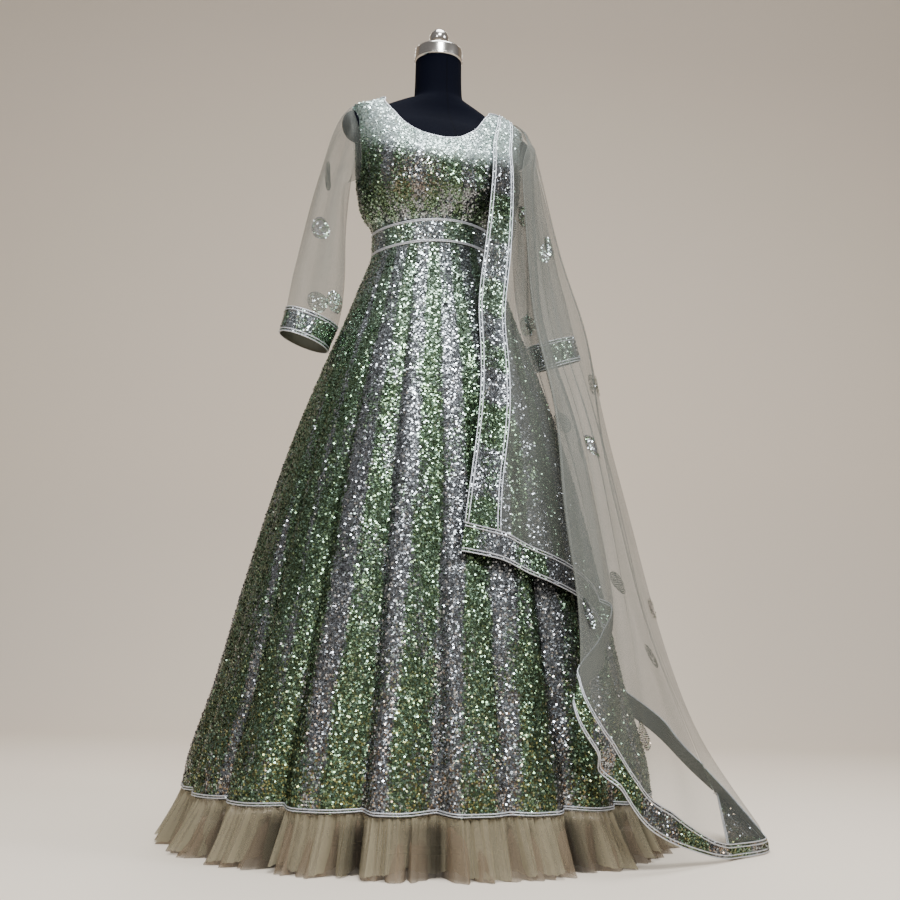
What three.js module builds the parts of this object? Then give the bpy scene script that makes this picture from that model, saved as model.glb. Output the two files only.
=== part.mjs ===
import * as THREE from "three";

// A floor-length sequin gown with net sleeves, a net frill and a long net scarf (dupatta),
// hung on a limbless dress form with a pole and a round base. Millimetres, +Z up, the front
// faces -Y and the wearer's left is +X. The origin is under the middle of the base.

// ---- driving sizes -------------------------------------------------------------------
const GAP = 0.4;              // between pieces at a seam
const SEAM = 0.8;             // a strip ends this far short of the line it meets
const SEQUIN_CLOTH = 2;       // wall of the sequin cloth
const NET = 1.2;              // wall of the net
const TRIM = 1.6;             // wall of a border strip that lies on the net
const CORD = 1.7;             // radius of a corded edge

const BAND_TOP = 1187;        // top of the waistband at the centre front
const BAND_HEIGHT = 48;
const BAND_DIP = 15;          // the band sits this much lower at the sides
const HEM = 97;               // sequin hem above the floor, between folds
const HEM_DIP = 9;            // a fold hangs this much lower
const FRILL_FOOT = 2.5;         // lower edge of the frill above the floor
const GATHERS = 74;           // gathers round the frill

const ARMHOLE = { middle: 1343, half: 75, turn: 29 };  // oval in height and turn round the body
const SLEEVE_COLUMNS = 18;
const BORDER = 52;            // width of the scarf's sequin border
const LEAST_LIFT = 8;         // of the scarf off what it lies on
const SEAT = SEQUIN_CLOTH / 2 + NET / 2 + 3 * GAP;  // of the scarf's wall above the shoulder seam

const BASE_RADIUS = 185;
const BASE_THICK = 14;
const POLE_RADIUS = 12.5;
const FORM_FOOT = 930;        // flat underside of the dress form
const NECK_TOP = 1549;
const CAP_RADIUS = 48.6;
const CAP_TOP = 1583.6;
const FINIAL_TOP = 1622.6;

// ---- sections: half width, half depth and middle of each level ring --------------------
const FORM_RINGS = [
  { z: FORM_FOOT, wide: 138, deep: 112, y: 2 },
  { z: 1000, wide: 140, deep: 114, y: 2 },
  { z: 1060, wide: 130, deep: 102, y: 1 },
  { z: 1110, wide: 119, deep: 93, y: 0 },
  { z: 1146, wide: 125, deep: 98.4, y: 0 },
  { z: 1162, wide: 125, deep: 98.4, y: 0 },
  { z: 1190, wide: 120, deep: 93, y: 0 },
  { z: 1230, wide: 144, deep: 107, y: -8 },
  { z: 1270, wide: 158, deep: 118, y: -14 },
  { z: 1310, wide: 163, deep: 116, y: -14 },
  { z: 1350, wide: 164, deep: 98, y: -10 },
  { z: 1385, wide: 165, deep: 78, y: -9 },
  { z: 1404, wide: 160, deep: 62, y: -9 },
  { z: 1422, wide: 138, deep: 52, y: -9 },
  { z: 1438, wide: 108, deep: 48, y: -9 },
  { z: 1452, wide: 80, deep: 47, y: -7 },
  { z: 1468, wide: 63, deep: 47, y: -4 },
  { z: 1500, wide: 50, deep: 47, y: -1 },
  { z: NECK_TOP, wide: 47, deep: 47, y: 0 },
];

const BODICE_RINGS = [
  { z: 1165, wide: 125.6, deep: 99, y: 0 },
  { z: 1187, wide: 130, deep: 101, y: 0 },
  { z: 1200, wide: 144, deep: 108, y: -4 },
  { z: 1221, wide: 157, deep: 118, y: -9 },
  { z: 1253, wide: 166, deep: 128, y: -15 },
  { z: 1300, wide: 170, deep: 128, y: -16 },
  { z: 1337, wide: 172, deep: 114, y: -12 },
  { z: 1370, wide: 175, deep: 98, y: -10 },
  { z: 1395, wide: 179, deep: 84, y: -10 },
  { z: 1418, wide: 184, deep: 70, y: -10 },
  { z: 1434, wide: 150, deep: 64, y: -10 },
  { z: 1450, wide: 110, deep: 60, y: -10 },
  { z: 1462, wide: 88, deep: 57, y: -9 },
];

const SKIRT_RINGS = [
  { z: -20, wide: 452, deep: 456, y: 29 },
  { z: 95, wide: 442, deep: 447, y: 27 },
  { z: 138, wide: 436, deep: 440, y: 25 },
  { z: 289, wide: 391, deep: 394, y: 22 },
  { z: 443, wide: 353, deep: 354, y: 18 },
  { z: 599, wide: 312, deep: 310, y: 13 },
  { z: 758, wide: 264, deep: 258, y: 8 },
  { z: 880, wide: 220, deep: 205, y: 4 },
  { z: 941, wide: 196, deep: 176, y: 2 },
  { z: 1003, wide: 171, deep: 146, y: 1 },
  { z: 1045, wide: 156, deep: 128, y: 0 },
  { z: 1086, wide: 141, deep: 112, y: 0 },
  { z: 1124, wide: 128, deep: 100, y: 0 },
  { z: 1165, wide: 125.6, deep: 99, y: 0 },
];

// The skirt's hanging folds: turn of each crest from the centre front (degrees, towards the
// wearer's left), its half width, and how far the cloth falls back beside it at the hem.
const SKIRT_FOLDS = [
  { at: -172, half: 12, fall: 34 }, { at: -149, half: 11, fall: 26 },
  { at: -126, half: 12, fall: 32 }, { at: -103, half: 11, fall: 30 },
  { at: -83, half: 9, fall: 24 }, { at: -66, half: 9, fall: 26 },
  { at: -47, half: 10, fall: 30 }, { at: -29, half: 8, fall: 34 },
  { at: -11, half: 10, fall: 32 }, { at: 9, half: 10, fall: 36 },
  { at: 27, half: 8, fall: 30 }, { at: 43, half: 8, fall: 32 },
  { at: 61, half: 10, fall: 28 }, { at: 82, half: 10, fall: 26 },
  { at: 104, half: 12, fall: 32 }, { at: 128, half: 11, fall: 28 },
  { at: 150, half: 11, fall: 34 }, { at: 168, half: 8, fall: 26 },
];

// Neck edge: height of the front and back edge at each turn from the centre line.
const NECK_EDGE = [
  { turn: 0, front: 1367.5, back: 1412 }, { turn: 10, front: 1369, back: 1412.5 },
  { turn: 17, front: 1375, back: 1414 }, { turn: 24, front: 1387, back: 1417 },
  { turn: 31, front: 1404, back: 1421 }, { turn: 40, front: 1424, back: 1428 },
  { turn: 58, front: 1441, back: 1441 }, { turn: 90, front: 1450.5, back: 1450.5 },
];

// Sleeve rings below the armhole: the edge next to the body, the outer edge, the middle
// and half depth of each. The left arm hangs a little further out (spread).
const SLEEVE_RINGS = [
  { inX: 188, inZ: 1262, outX: 202, outZ: 1398, y: -2, half: 54, spread: 0 },
  { inX: 189, inZ: 1240, outX: 217, outZ: 1362, y: 4, half: 52, spread: 0 },
  { inX: 186, inZ: 1205, outX: 233, outZ: 1300, y: 12, half: 48, spread: -2 },
  { inX: 182, inZ: 1155, outX: 251, outZ: 1222, y: 20, half: 44, spread: 0 },
  { inX: 179, inZ: 1088, outX: 270, outZ: 1134, y: 24, half: 40, spread: 4 },
  { inX: 182, inZ: 1026, outX: 285, outZ: 1064, y: 26, half: 37, spread: 9 },
  { inX: 190, inZ: 976, outX: 293, outZ: 1008, y: 28, half: 35, spread: 14 },
];
const CUFF_RING = { inX: 209, inZ: 925, outX: 304, outZ: 957, y: 30, half: 36, spread: 18 };

// ---- the scarf: one row for each hanging fold line --------------------------------------
// ridge: where it crosses the shoulder; foot: height of its lower end. Then, for each level,
// the turn from the centre front (degrees) and the least distance from the body's axis.
// lift: how far it lies off what is under it.
const LEVELS = ["collar", "chest", "waist", "hip", "thigh", "knee", "shin", "ankle", "floor"];
const LEVEL_HEIGHT = {
  collar: 1403, chest: 1325, waist: 1165, hip: 1000, thigh: 800,
  knee: 600, shin: 400, ankle: 200, floor: 0,
};
const fold = (name, ridge, foot, lift, turns, reach) => ({ name, ridge, foot, lift, turns, reach });
const FRONT_FOLDS = [
  fold("front_edge", 119, 525, 8, [55, 31, 27, 12, 0, -9, -14, -14, -14], [0, 0, 130, 152, 0, 0, 0, 0, 0]),
  fold("band_edge", 131, 513, 8, [70, 48, 46, 30, 14, 2, 0, 0, 0], [0, 0, 152, 172, 0, 0, 0, 0, 0]),
  fold("net_a", 137, 492, 8, [74, 55, 54, 42, 26, 13, 8, 8, 8], [0, 0, 160, 178, 0, 0, 0, 0, 0]),
  fold("net_b", 142, 474, 9, [77, 60, 60, 50, 37, 24, 18, 18, 18], [0, 0, 168, 186, 0, 0, 0, 0, 0]),
  fold("under_a", 147, 448, 9, [80, 65, 66, 58, 50, 39, 29, 26, 26], [0, 0, 172, 196, 0, 0, 0, 0, 0]),
  fold("under_turn", 154, 395, 10, [83, 70, 73, 67, 62, 53, 39, 34, 34], [0, 0, 186, 218, 288, 334, 384, 0, 0]),
  fold("mid", 151, 340, 15, [80, 64, 62, 58, 49, 38, 29, 24, 24], [0, 0, 182, 214, 287, 342, 400, 440, 0]),
  fold("pleat_edge", 149, 275, 20, [77, 57, 51, 48, 34, 22, 18, 10, 8], [0, 0, 176, 210, 286, 352, 418, 450, 0]),
  fold("top_a", 155, 195, 22, [80, 62, 58, 54, 41, 29, 23, 15.5, 14], [0, 0, 196, 222, 296, 361, 424, 474, 0]),
  fold("top_b", 159, 140, 22, [82, 67, 64, 59, 48, 36, 30, 22, 17], [0, 0, 206, 234, 306, 368, 427, 478, 500]),
  fold("top_c", 163, 72, 21, [84, 71, 70, 63, 54, 43, 37, 30, 25], [0, 0, 216, 250, 318, 376, 430, 486, 515]),
  fold("top_d", 167, 30, 19, [86, 75, 75, 67, 60, 51, 46, 41, 37], [0, 0, 232, 272, 328, 384, 435, 496, 536]),
  fold("top_e", 171, 4, 18, [87, 79, 80, 72, 66, 60, 56, 53, 50], [0, 0, 246, 294, 338, 390, 440, 508, 580]),
  fold("corner", 175, 2.2, 13, [88, 83, 85, 78, 73, 69, 66, 64.5, 63], [0, 0, 256, 322, 347, 394, 443, 520, 646]),
  fold("side", 179, 84, 13, [89, 87, 90, 85, 81, 79, 78, 77, 77], [0, 0, 262, 336, 352, 396, 448, 532, 606]),
];
const BACK_FOLDS = [
  fold("side_back", 179, 90, 13, [91, 88.2, 90.6, 85.6, 81.6, 79.6, 78.6, 77.6, 77.6], [0, 0, 262, 336, 352, 396, 448, 532, 606]),
  fold("hang_a", 172, 160, 17, [93, 94, 97, 93, 90, 88, 87, 87, 87], [0, 0, 262, 348, 366, 402, 452, 528, 560]),
  fold("hang_b", 165, 222, 14, [95, 101, 104, 102, 99, 97, 96, 96, 96], [0, 0, 250, 328, 350, 384, 440, 500, 530]),
  fold("hang_c", 157, 258, 18, [98, 108, 111, 112, 110, 108, 107, 107, 107], [0, 0, 218, 262, 318, 372, 430, 480, 0]),
  fold("hang_d", 150, 272, 12, [101, 115, 119, 122, 121, 120, 120, 120, 120], [0, 0, 190, 220, 280, 340, 400, 440, 0]),
  fold("hang_e", 143, 280, 20, [104, 122, 128, 134, 134, 134, 134, 134, 134], [0, 0, 172, 196, 0, 0, 0, 0, 0]),
  fold("hang_f", 136, 287, 9, [107, 130, 138, 146, 147, 148, 148, 148, 148], [0, 0, 150, 172, 0, 0, 0, 0, 0]),
  fold("hang_g", 129, 294, 15, [111, 139, 148, 158, 161, 162, 162, 162, 162], [0, 0, 140, 162, 0, 0, 0, 0, 0]),
  fold("back_edge", 121, 300, 8, [116, 147, 156, 168, 173, 175, 175, 175, 175], [0, 0, 132, 156, 0, 0, 0, 0, 0]),
];

// ---- colours ---------------------------------------------------------------------------
const finish = (color, roughness, metalness) => () => new THREE.MeshStandardMaterial({ color, roughness, metalness });
const sequinCloth = finish(0x8a9a88, 0.35, 0.6);
const netCloth = finish(0xb4ac98, 0.8, 0);
const corded = finish(0xc9cbd0, 0.4, 0.5);
const jersey = finish(0x17181c, 0.9, 0);
const steel = finish(0xb8b0a8, 0.25, 1);
const painted = finish(0x202125, 0.5, 0.2);

// ---- helpers ---------------------------------------------------------------------------
const rad = (degrees) => degrees * Math.PI / 180;
const mix = (a, b, t) => a + (b - a) * t;
const clamp = (v, low, high) => Math.min(high, Math.max(low, v));

// Value of a smooth curve through equally weighted knots (xs rising).
function curve(xs, ys, x) {
  const last = xs.length - 1;
  if (x <= xs[0]) return ys[0];
  if (x >= xs[last]) return ys[last];
  let i = 0;
  while (x > xs[i + 1]) i += 1;
  const slope = (k) => {
    if (k === 0 || k === last) return 0;
    const before = (ys[k] - ys[k - 1]) / (xs[k] - xs[k - 1]);
    const after = (ys[k + 1] - ys[k]) / (xs[k + 1] - xs[k]);
    return before * after <= 0 ? 0 : 2 * before * after / (before + after);
  };
  const width = xs[i + 1] - xs[i];
  const t = (x - xs[i]) / width;
  const t2 = t * t;
  const t3 = t2 * t;
  return ys[i] * (2 * t3 - 3 * t2 + 1) + ys[i + 1] * (3 * t2 - 2 * t3)
    + width * (slope(i) * (t3 - 2 * t2 + t) + slope(i + 1) * (t3 - t2));
}

function ringAt(rings, z) {
  const heights = rings.map((r) => r.z);
  const at = (name) => curve(heights, rings.map((r) => r[name]), z);
  return { wide: at("wide"), deep: at("deep"), y: at("y") };
}

// Point of a ring at a turn from the centre front, moved out by some millimetres.
function ringPoint(rings, turn, z, out = 0) {
  const r = ringAt(rings, z);
  const a = rad(turn);
  return new THREE.Vector3((r.wide + out) * Math.sin(a), r.y - (r.deep + out) * Math.cos(a), z);
}

// A closed solid from a grid of points[row][column]: a wall of the given thickness about
// them, with rims. Rows run downwards and columns towards the wearer's left, so that the
// wall's outer face is on the outside.
function wall(points, thickness, round = false) {
  const rows = points.length;
  const columns = points[0].length;
  const corner = (i, j) => {
    const jj = round ? (j + columns) % columns : clamp(j, 0, columns - 1);
    return points[clamp(i, 0, rows - 1)][jj];
  };
  const positions = [];
  for (const side of [0.5, -0.5]) {
    for (let i = 0; i < rows; i += 1) {
      for (let j = 0; j < columns; j += 1) {
        const down = corner(i + 1, j).clone().sub(corner(i - 1, j));
        const across = corner(i, j + 1).clone().sub(corner(i, j - 1));
        const normal = down.cross(across).normalize();
        const p = points[i][j].clone().addScaledVector(normal, side * thickness);
        positions.push(p.x, p.y, p.z);
      }
    }
  }
  const index = [];
  const inner = rows * columns;
  const at = (i, j) => i * columns + (j % columns);
  const quad = (a, b, c, d) => index.push(a, b, c, a, c, d);
  const spans = round ? columns : columns - 1;
  for (let i = 0; i < rows - 1; i += 1) {
    for (let j = 0; j < spans; j += 1) {
      quad(at(i, j), at(i + 1, j), at(i + 1, j + 1), at(i, j + 1));
      quad(inner + at(i, j), inner + at(i, j + 1), inner + at(i + 1, j + 1), inner + at(i + 1, j));
    }
  }
  for (let j = 0; j < spans; j += 1) {
    quad(at(0, j), at(0, j + 1), inner + at(0, j + 1), inner + at(0, j));
    quad(at(rows - 1, j + 1), at(rows - 1, j), inner + at(rows - 1, j), inner + at(rows - 1, j + 1));
  }
  if (!round) {
    for (let i = 0; i < rows - 1; i += 1) {
      quad(at(i + 1, 0), at(i, 0), inner + at(i, 0), inner + at(i + 1, 0));
      const e = columns - 1;
      quad(at(i, e), at(i + 1, e), inner + at(i + 1, e), inner + at(i, e));
    }
  }
  const geometry = new THREE.BufferGeometry();
  geometry.setAttribute("position", new THREE.Float32BufferAttribute(positions, 3));
  geometry.setIndex(index);
  geometry.computeVertexNormals();
  return geometry;
}

// A cord of a few sides along a closed or open run of points.
function cordAlong(points, radius, closed, sides = 4) {
  const count = points.length;
  const positions = [];
  const index = [];
  for (let k = 0; k < count; k += 1) {
    const next = closed ? points[(k + 1) % count] : points[Math.min(k + 1, count - 1)];
    const before = closed ? points[(k + count - 1) % count] : points[Math.max(k - 1, 0)];
    const tangent = next.clone().sub(before).normalize();
    const flat = new THREE.Vector3(tangent.y, -tangent.x, 0).normalize();
    const up = tangent.clone().cross(flat).normalize();
    for (let s = 0; s < sides; s += 1) {
      const a = 2 * Math.PI * (s + 0.5) / sides;
      const p = points[k].clone().addScaledVector(flat, radius * Math.cos(a)).addScaledVector(up, radius * Math.sin(a));
      positions.push(p.x, p.y, p.z);
    }
  }
  const runs = closed ? count : count - 1;
  for (let k = 0; k < runs; k += 1) {
    const n = (k + 1) % count;
    for (let s = 0; s < sides; s += 1) {
      const t = (s + 1) % sides;
      index.push(k * sides + s, k * sides + t, n * sides + t, k * sides + s, n * sides + t, n * sides + s);
    }
  }
  if (!closed) {
    for (let s = 1; s < sides - 1; s += 1) {
      const e = (count - 1) * sides;
      index.push(0, s + 1, s, e, e + s, e + s + 1);
    }
  }
  const geometry = new THREE.BufferGeometry();
  geometry.setAttribute("position", new THREE.Float32BufferAttribute(positions, 3));
  geometry.setIndex(index);
  geometry.computeVertexNormals();
  return geometry;
}

const garment = new THREE.Group();
function add(name, geometry, material) {
  const mesh = new THREE.Mesh(geometry, material());
  mesh.name = name;
  garment.add(mesh);
  return mesh;
}

// A solid of revolution about the vertical axis from [radius, height] pairs.
function turned(name, profile, segments, material) {
  const points = profile.map(([radius, height]) => new THREE.Vector2(radius, height));
  const geometry = new THREE.LatheGeometry(points, segments);
  geometry.rotateX(Math.PI / 2);
  return add(name, geometry, material);
}

// ---- dress form ------------------------------------------------------------------------
function dressForm() {
  const around = 26;
  const positions = [];
  const index = [];
  for (const ring of FORM_RINGS) {
    for (let j = 0; j < around; j += 1) {
      const p = ringPoint(FORM_RINGS, 360 * j / around, ring.z);
      positions.push(p.x, p.y, p.z);
    }
  }
  const rows = FORM_RINGS.length;
  for (let i = 0; i < rows - 1; i += 1) {
    for (let j = 0; j < around; j += 1) {
      const n = (j + 1) % around;
      const [a, b, c, d] = [i * around + j, i * around + n, (i + 1) * around + n, (i + 1) * around + j];
      index.push(a, b, c, a, c, d);
    }
  }
  for (const [row, flip] of [[0, true], [rows - 1, false]]) {
    const centre = positions.length / 3;
    positions.push(0, FORM_RINGS[row].y, FORM_RINGS[row].z);
    for (let j = 0; j < around; j += 1) {
      const [a, b] = [row * around + j, row * around + (j + 1) % around];
      index.push(...(flip ? [centre, b, a] : [centre, a, b]));
    }
  }
  const geometry = new THREE.BufferGeometry();
  geometry.setAttribute("position", new THREE.Float32BufferAttribute(positions, 3));
  geometry.setIndex(index);
  geometry.computeVertexNormals();
  add("form_torso", geometry, jersey);

  const ball = 19.5;
  const stem = 9;
  const ballMiddle = FINIAL_TOP - ball;
  const capFoot = NECK_TOP + GAP;
  turned("form_neck_cap", [
    [0, capFoot], [CAP_RADIUS, capFoot], [CAP_RADIUS + 1.5, capFoot + 3], [CAP_RADIUS, CAP_TOP - 9],
    [CAP_RADIUS - 3, CAP_TOP - 4], [CAP_RADIUS - 12, CAP_TOP - 1], [0, CAP_TOP],
  ], 32, steel);
  const finial = [[0, CAP_TOP + GAP], [stem + 5, CAP_TOP + GAP], [stem, CAP_TOP + 4]];
  for (let k = 1; k <= 8; k += 1) {
    const a = rad(mix(-58, 90, k / 8));
    finial.push([k === 8 ? 0 : ball * Math.cos(a), ballMiddle + ball * Math.sin(a)]);
  }
  turned("form_finial", finial, 20, steel);
  turned("form_pole", [
    [0, BASE_THICK + GAP], [POLE_RADIUS, BASE_THICK + GAP],
    [POLE_RADIUS, FORM_FOOT - GAP], [0, FORM_FOOT - GAP],
  ], 16, steel);
  turned("form_base", [
    [0, 0], [BASE_RADIUS - 2, 0], [BASE_RADIUS, 2], [BASE_RADIUS, BASE_THICK - 5],
    [BASE_RADIUS - 6, BASE_THICK], [0, BASE_THICK],
  ], 40, painted);
}

// ---- bodice ----------------------------------------------------------------------------
const bandTop = (turn) => BAND_TOP - BAND_DIP * Math.sin(rad(turn)) ** 2;

const neckHeight = (turn, back) => curve(NECK_EDGE.map((n) => n.turn), NECK_EDGE.map((n) => n[back ? "back" : "front"]), turn);

// Upper edge of half a panel from the centre line to the side seam, as [turn, height].
function panelEdge(back) {
  const edge = [];
  for (let k = 0; k <= 12; k += 1) {
    const turn = 90 * (k / 12) ** 1.25;
    edge.push([turn, neckHeight(turn, back)]);
  }
  const tip = ARMHOLE.middle + ARMHOLE.half;
  for (const t of [0.33, 0.66]) edge.push([90, mix(neckHeight(90, back), tip, t)]);
  for (let k = 0; k <= 12; k += 1) {
    const a = Math.PI * k / 12;
    edge.push([90 - ARMHOLE.turn * Math.sin(a), ARMHOLE.middle + ARMHOLE.half * Math.cos(a)]);
  }
  return edge;
}

// Equal steps along an edge, measured on the body.
function spacedEdge(edge, count) {
  const place = ([turn, z]) => ringPoint(BODICE_RINGS, turn, z);
  const runs = [0];
  for (let k = 1; k < edge.length; k += 1) {
    runs.push(runs[k - 1] + place(edge[k]).distanceTo(place(edge[k - 1])));
  }
  const steps = [];
  for (let j = 0; j <= count; j += 1) {
    const want = runs[runs.length - 1] * j / count;
    let k = 1;
    while (k < runs.length - 1 && runs[k] < want) k += 1;
    const t = (want - runs[k - 1]) / Math.max(runs[k] - runs[k - 1], 1e-6);
    steps.push([mix(edge[k - 1][0], edge[k][0], t), mix(edge[k - 1][1], edge[k][1], t)]);
  }
  return steps;
}

function bodicePanel(name, back) {
  const half = 15;
  const rows = 8;
  const top = spacedEdge(panelEdge(back), half);
  const grid = [];
  for (let i = 0; i <= rows; i += 1) {
    const line = [];
    for (let j = 0; j <= half; j += 1) {
      const foot = 90 * (j / half) ** 0.92;
      const t = 1 - i / rows;
      const footZ = bandTop(foot) + 1.2;
      line.push([mix(foot, top[j][0], t ** 4), mix(footZ, top[j][1], t)]);
    }
    grid.push(line);
  }
  for (let round = 0; round < 60; round += 1) {
    for (let i = 1; i < rows; i += 1) {
      for (let j = 1; j < half; j += 1) {
        for (const k of [0, 1]) {
          grid[i][j][k] = (grid[i - 1][j][k] + grid[i + 1][j][k] + grid[i][j - 1][k] + grid[i][j + 1][k]) / 4;
        }
      }
    }
  }
  const seam = 0.75;
  const points = grid.map((line) => {
    const place = (side) => ([turn, z]) => {
      const t = Math.min(turn, 90 - seam);
      return ringPoint(BODICE_RINGS, side * (back ? 180 - t : t), z);
    };
    const left = line.map(place(back ? -1 : 1));
    const right = line.slice(1).reverse().map(place(back ? 1 : -1));
    return [...right, ...left];
  });
  add(name, wall(points, SEQUIN_CLOTH), sequinCloth);
}

function neckBinding() {
  const points = [];
  const steps = 36;
  for (let k = 0; k < steps; k += 1) {
    const turn = 360 * k / steps;
    const folded = turn <= 180 ? turn : 360 - turn;
    const back = folded > 90;
    const edge = back ? 180 - folded : folded;
    const spread = 90 * (edge / 90) ** 1.25;
    const z = neckHeight(spread, back);
    const side = turn <= 180 ? 1 : -1;
    const p = ringPoint(BODICE_RINGS, side * (back ? 180 - spread : spread), z);
    const lift = SEQUIN_CLOTH / 2 + CORD + (back ? 4 : 3) * GAP;
    p.addScaledVector(new THREE.Vector3(-p.x, -p.y, 90).normalize(), lift);
    points.push(p);
  }
  add("neck_binding", cordAlong(points, CORD, true), corded);
}

// ---- waistband and skirt ---------------------------------------------------------------
function waistband() {
  const steps = 22;
  for (const [name, start] of [["waistband_front", -90], ["waistband_back", 90]]) {
    const points = [];
    for (const t of [0, 0.5, 1]) {
      const line = [];
      for (let j = 0; j <= steps; j += 1) {
        const turn = start + mix(0.2, 179.8, j / steps);
        line.push(ringPoint(BODICE_RINGS, turn, 1165, 1.2).setZ(bandTop(turn) - t * BAND_HEIGHT));
      }
      points.push(line);
    }
    add(name, wall(points, SEQUIN_CLOTH), sequinCloth);
  }
  for (const [name, drop] of [["waist_cord_upper", 3.2], ["waist_cord_lower", BAND_HEIGHT - 3.2]]) {
    const points = [];
    for (let j = 0; j < 36; j += 1) {
      const turn = 360 * j / 36;
      const out = 1.2 + SEQUIN_CLOTH / 2 + GAP + CORD;
      points.push(ringPoint(BODICE_RINGS, turn, 1165, out).setZ(bandTop(turn) - drop));
    }
    add(name, cordAlong(points, CORD, true), corded);
  }
}

// How far a turn is on the crest of a skirt fold: 1 on it, 0 between two.
function crest(turn) {
  let best = 0;
  let fall = 30;
  for (const f of SKIRT_FOLDS) {
    const away = Math.abs(((turn - f.at + 540) % 360) - 180);
    const height = away < f.half * 1.15 ? Math.cos(Math.PI / 2 * away / (f.half * 1.15)) ** 1.4 : 0;
    if (height > best) {
      best = height;
      fall = f.fall;
    }
  }
  return { height: best, fall };
}

const skirtTop = (turn) => bandTop(turn) - BAND_HEIGHT - GAP;
const hemHeight = (turn) => HEM - HEM_DIP * crest(turn).height;

function skirtPoint(turn, z, out = 0) {
  const { height, fall } = crest(turn);
  const down = clamp((1120 - z) / (1120 - HEM), 0, 1);
  const back = fall * (1 - height) * down ** 1.15;
  return ringPoint(SKIRT_RINGS, turn, z, out - back);
}

function skirt() {
  const rows = 8;
  const steps = 46;
  for (const [name, start] of [["skirt_front", -90], ["skirt_back", 90]]) {
    const points = [];
    for (let i = 0; i <= rows; i += 1) {
      const line = [];
      for (let j = 0; j <= steps; j += 1) {
        const turn = start + mix(0.06, 179.94, j / steps);
        const t = (i / rows) ** 1.25;
        line.push(skirtPoint(turn, mix(skirtTop(turn), hemHeight(turn), t)));
      }
      points.push(line);
    }
    add(name, wall(points, SEQUIN_CLOTH), sequinCloth);
  }
  const cord = [];
  const cordSteps = 92;
  for (let j = 0; j < cordSteps; j += 1) {
    const turn = 360 * j / cordSteps - 90;
    const out = SEQUIN_CLOTH / 2 + 2 * GAP + CORD;
    cord.push(skirtPoint(turn, hemHeight(turn) + 4, out));
  }
  add("hem_cord", cordAlong(cord, CORD, true), corded);
}

// Gathered net below the hem: crests and troughs in turn, deeper towards the floor.
function frill() {
  const rows = 3;
  const half = GATHERS;
  for (const [name, start] of [["frill_front", -90], ["frill_back", 90]]) {
    const points = [];
    for (let i = 0; i < rows; i += 1) {
      const line = [];
      const t = i / (rows - 1);
      for (let j = 0; j <= half; j += 1) {
        const uneven = 0.22 * Math.sin(j * 2.4) + 0.14 * Math.sin(j * 5.1 + 1);
        const turn = start + mix(0.08, 179.92, (j + (j % half === 0 ? 0 : uneven * 0.5)) / half);
        const sign = j % 2 === 0 ? 1 : -1;
        const depth = mix(2.5, 10 + 3 * Math.sin(j * 1.3 + 0.6), t ** 0.8);
        const top = hemHeight(turn) - 4 * GAP;
        const foot = FRILL_FOOT + 3 * (0.5 + 0.5 * Math.sin(j * 1.9));
        const flare = mix(-3, 30, t);
        line.push(skirtPoint(turn, top, flare + sign * depth).setZ(mix(top, foot, t)));
      }
      points.push(line);
    }
    add(name, wall(points, NET), netCloth);
  }
}

// ---- sleeves and cuffs -----------------------------------------------------------------
function sleeveRing(ring, side) {
  const line = [];
  const spread = side > 0 ? ring.spread : 0;
  const inner = new THREE.Vector3(ring.inX + spread, ring.y, ring.inZ);
  const outer = new THREE.Vector3(ring.outX + spread, ring.y, ring.outZ);
  const middle = inner.clone().add(outer).multiplyScalar(0.5);
  const reach = outer.clone().sub(inner).multiplyScalar(0.5);
  for (let j = 0; j < SLEEVE_COLUMNS; j += 1) {
    const a = 2 * Math.PI * j / SLEEVE_COLUMNS;
    const p = middle.clone().addScaledVector(reach, Math.cos(a));
    p.y -= ring.half * Math.sin(a);
    line.push(p);
  }
  return line;
}

function armholeRing() {
  const line = [];
  for (let j = 0; j < SLEEVE_COLUMNS; j += 1) {
    const a = 2 * Math.PI * j / SLEEVE_COLUMNS;
    const turn = 90 - ARMHOLE.turn * Math.sin(a);
    const z = ARMHOLE.middle + ARMHOLE.half * Math.cos(a);
    line.push(ringPoint(BODICE_RINGS, turn, z).add(new THREE.Vector3(2.6, 0, 0)));
  }
  return line;
}

function sleeveRows(side) {
  return [armholeRing(), ...SLEEVE_RINGS.map((ring) => sleeveRing(ring, side))];
}

function mirrored(rows) {
  return rows.map((line) => line.map((p) => new THREE.Vector3(-p.x, p.y, p.z)).reverse());
}

function sleeves() {
  for (const [word, side] of [["left", 1], ["right", -1]]) {
    const rows = sleeveRows(side).map((line) => line.slice().reverse());
    const last = SLEEVE_RINGS[SLEEVE_RINGS.length - 1];
    const cuffTop = { ...last, inZ: last.inZ - 1, outZ: last.outZ - 1 };
    const cuffRows = [cuffTop, CUFF_RING].map((ring) => sleeveRing(ring, side).reverse());
    const placed = side > 0 ? rows : mirrored(rows);
    const cuffPlaced = side > 0 ? cuffRows : mirrored(cuffRows);
    add(`sleeve_${word}`, wall(placed, NET, true), netCloth);
    add(`cuff_${word}`, wall(cuffPlaced, SEQUIN_CLOTH, true), sequinCloth);
  }
}

// ---- scarf -----------------------------------------------------------------------------
// Points that the scarf has to clear at a level: body or skirt, and the left sleeve.
const sleeveCloud = (() => {
  const rows = [...sleeveRows(1), sleeveRing(CUFF_RING, 1)];
  const cloud = [];
  for (let i = 0; i < rows.length - 1; i += 1) {
    for (let k = 0; k < 8; k += 1) {
      for (let j = 0; j < SLEEVE_COLUMNS; j += 1) cloud.push(rows[i][j].clone().lerp(rows[i + 1][j], k / 8));
    }
  }
  return cloud;
})();

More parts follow.
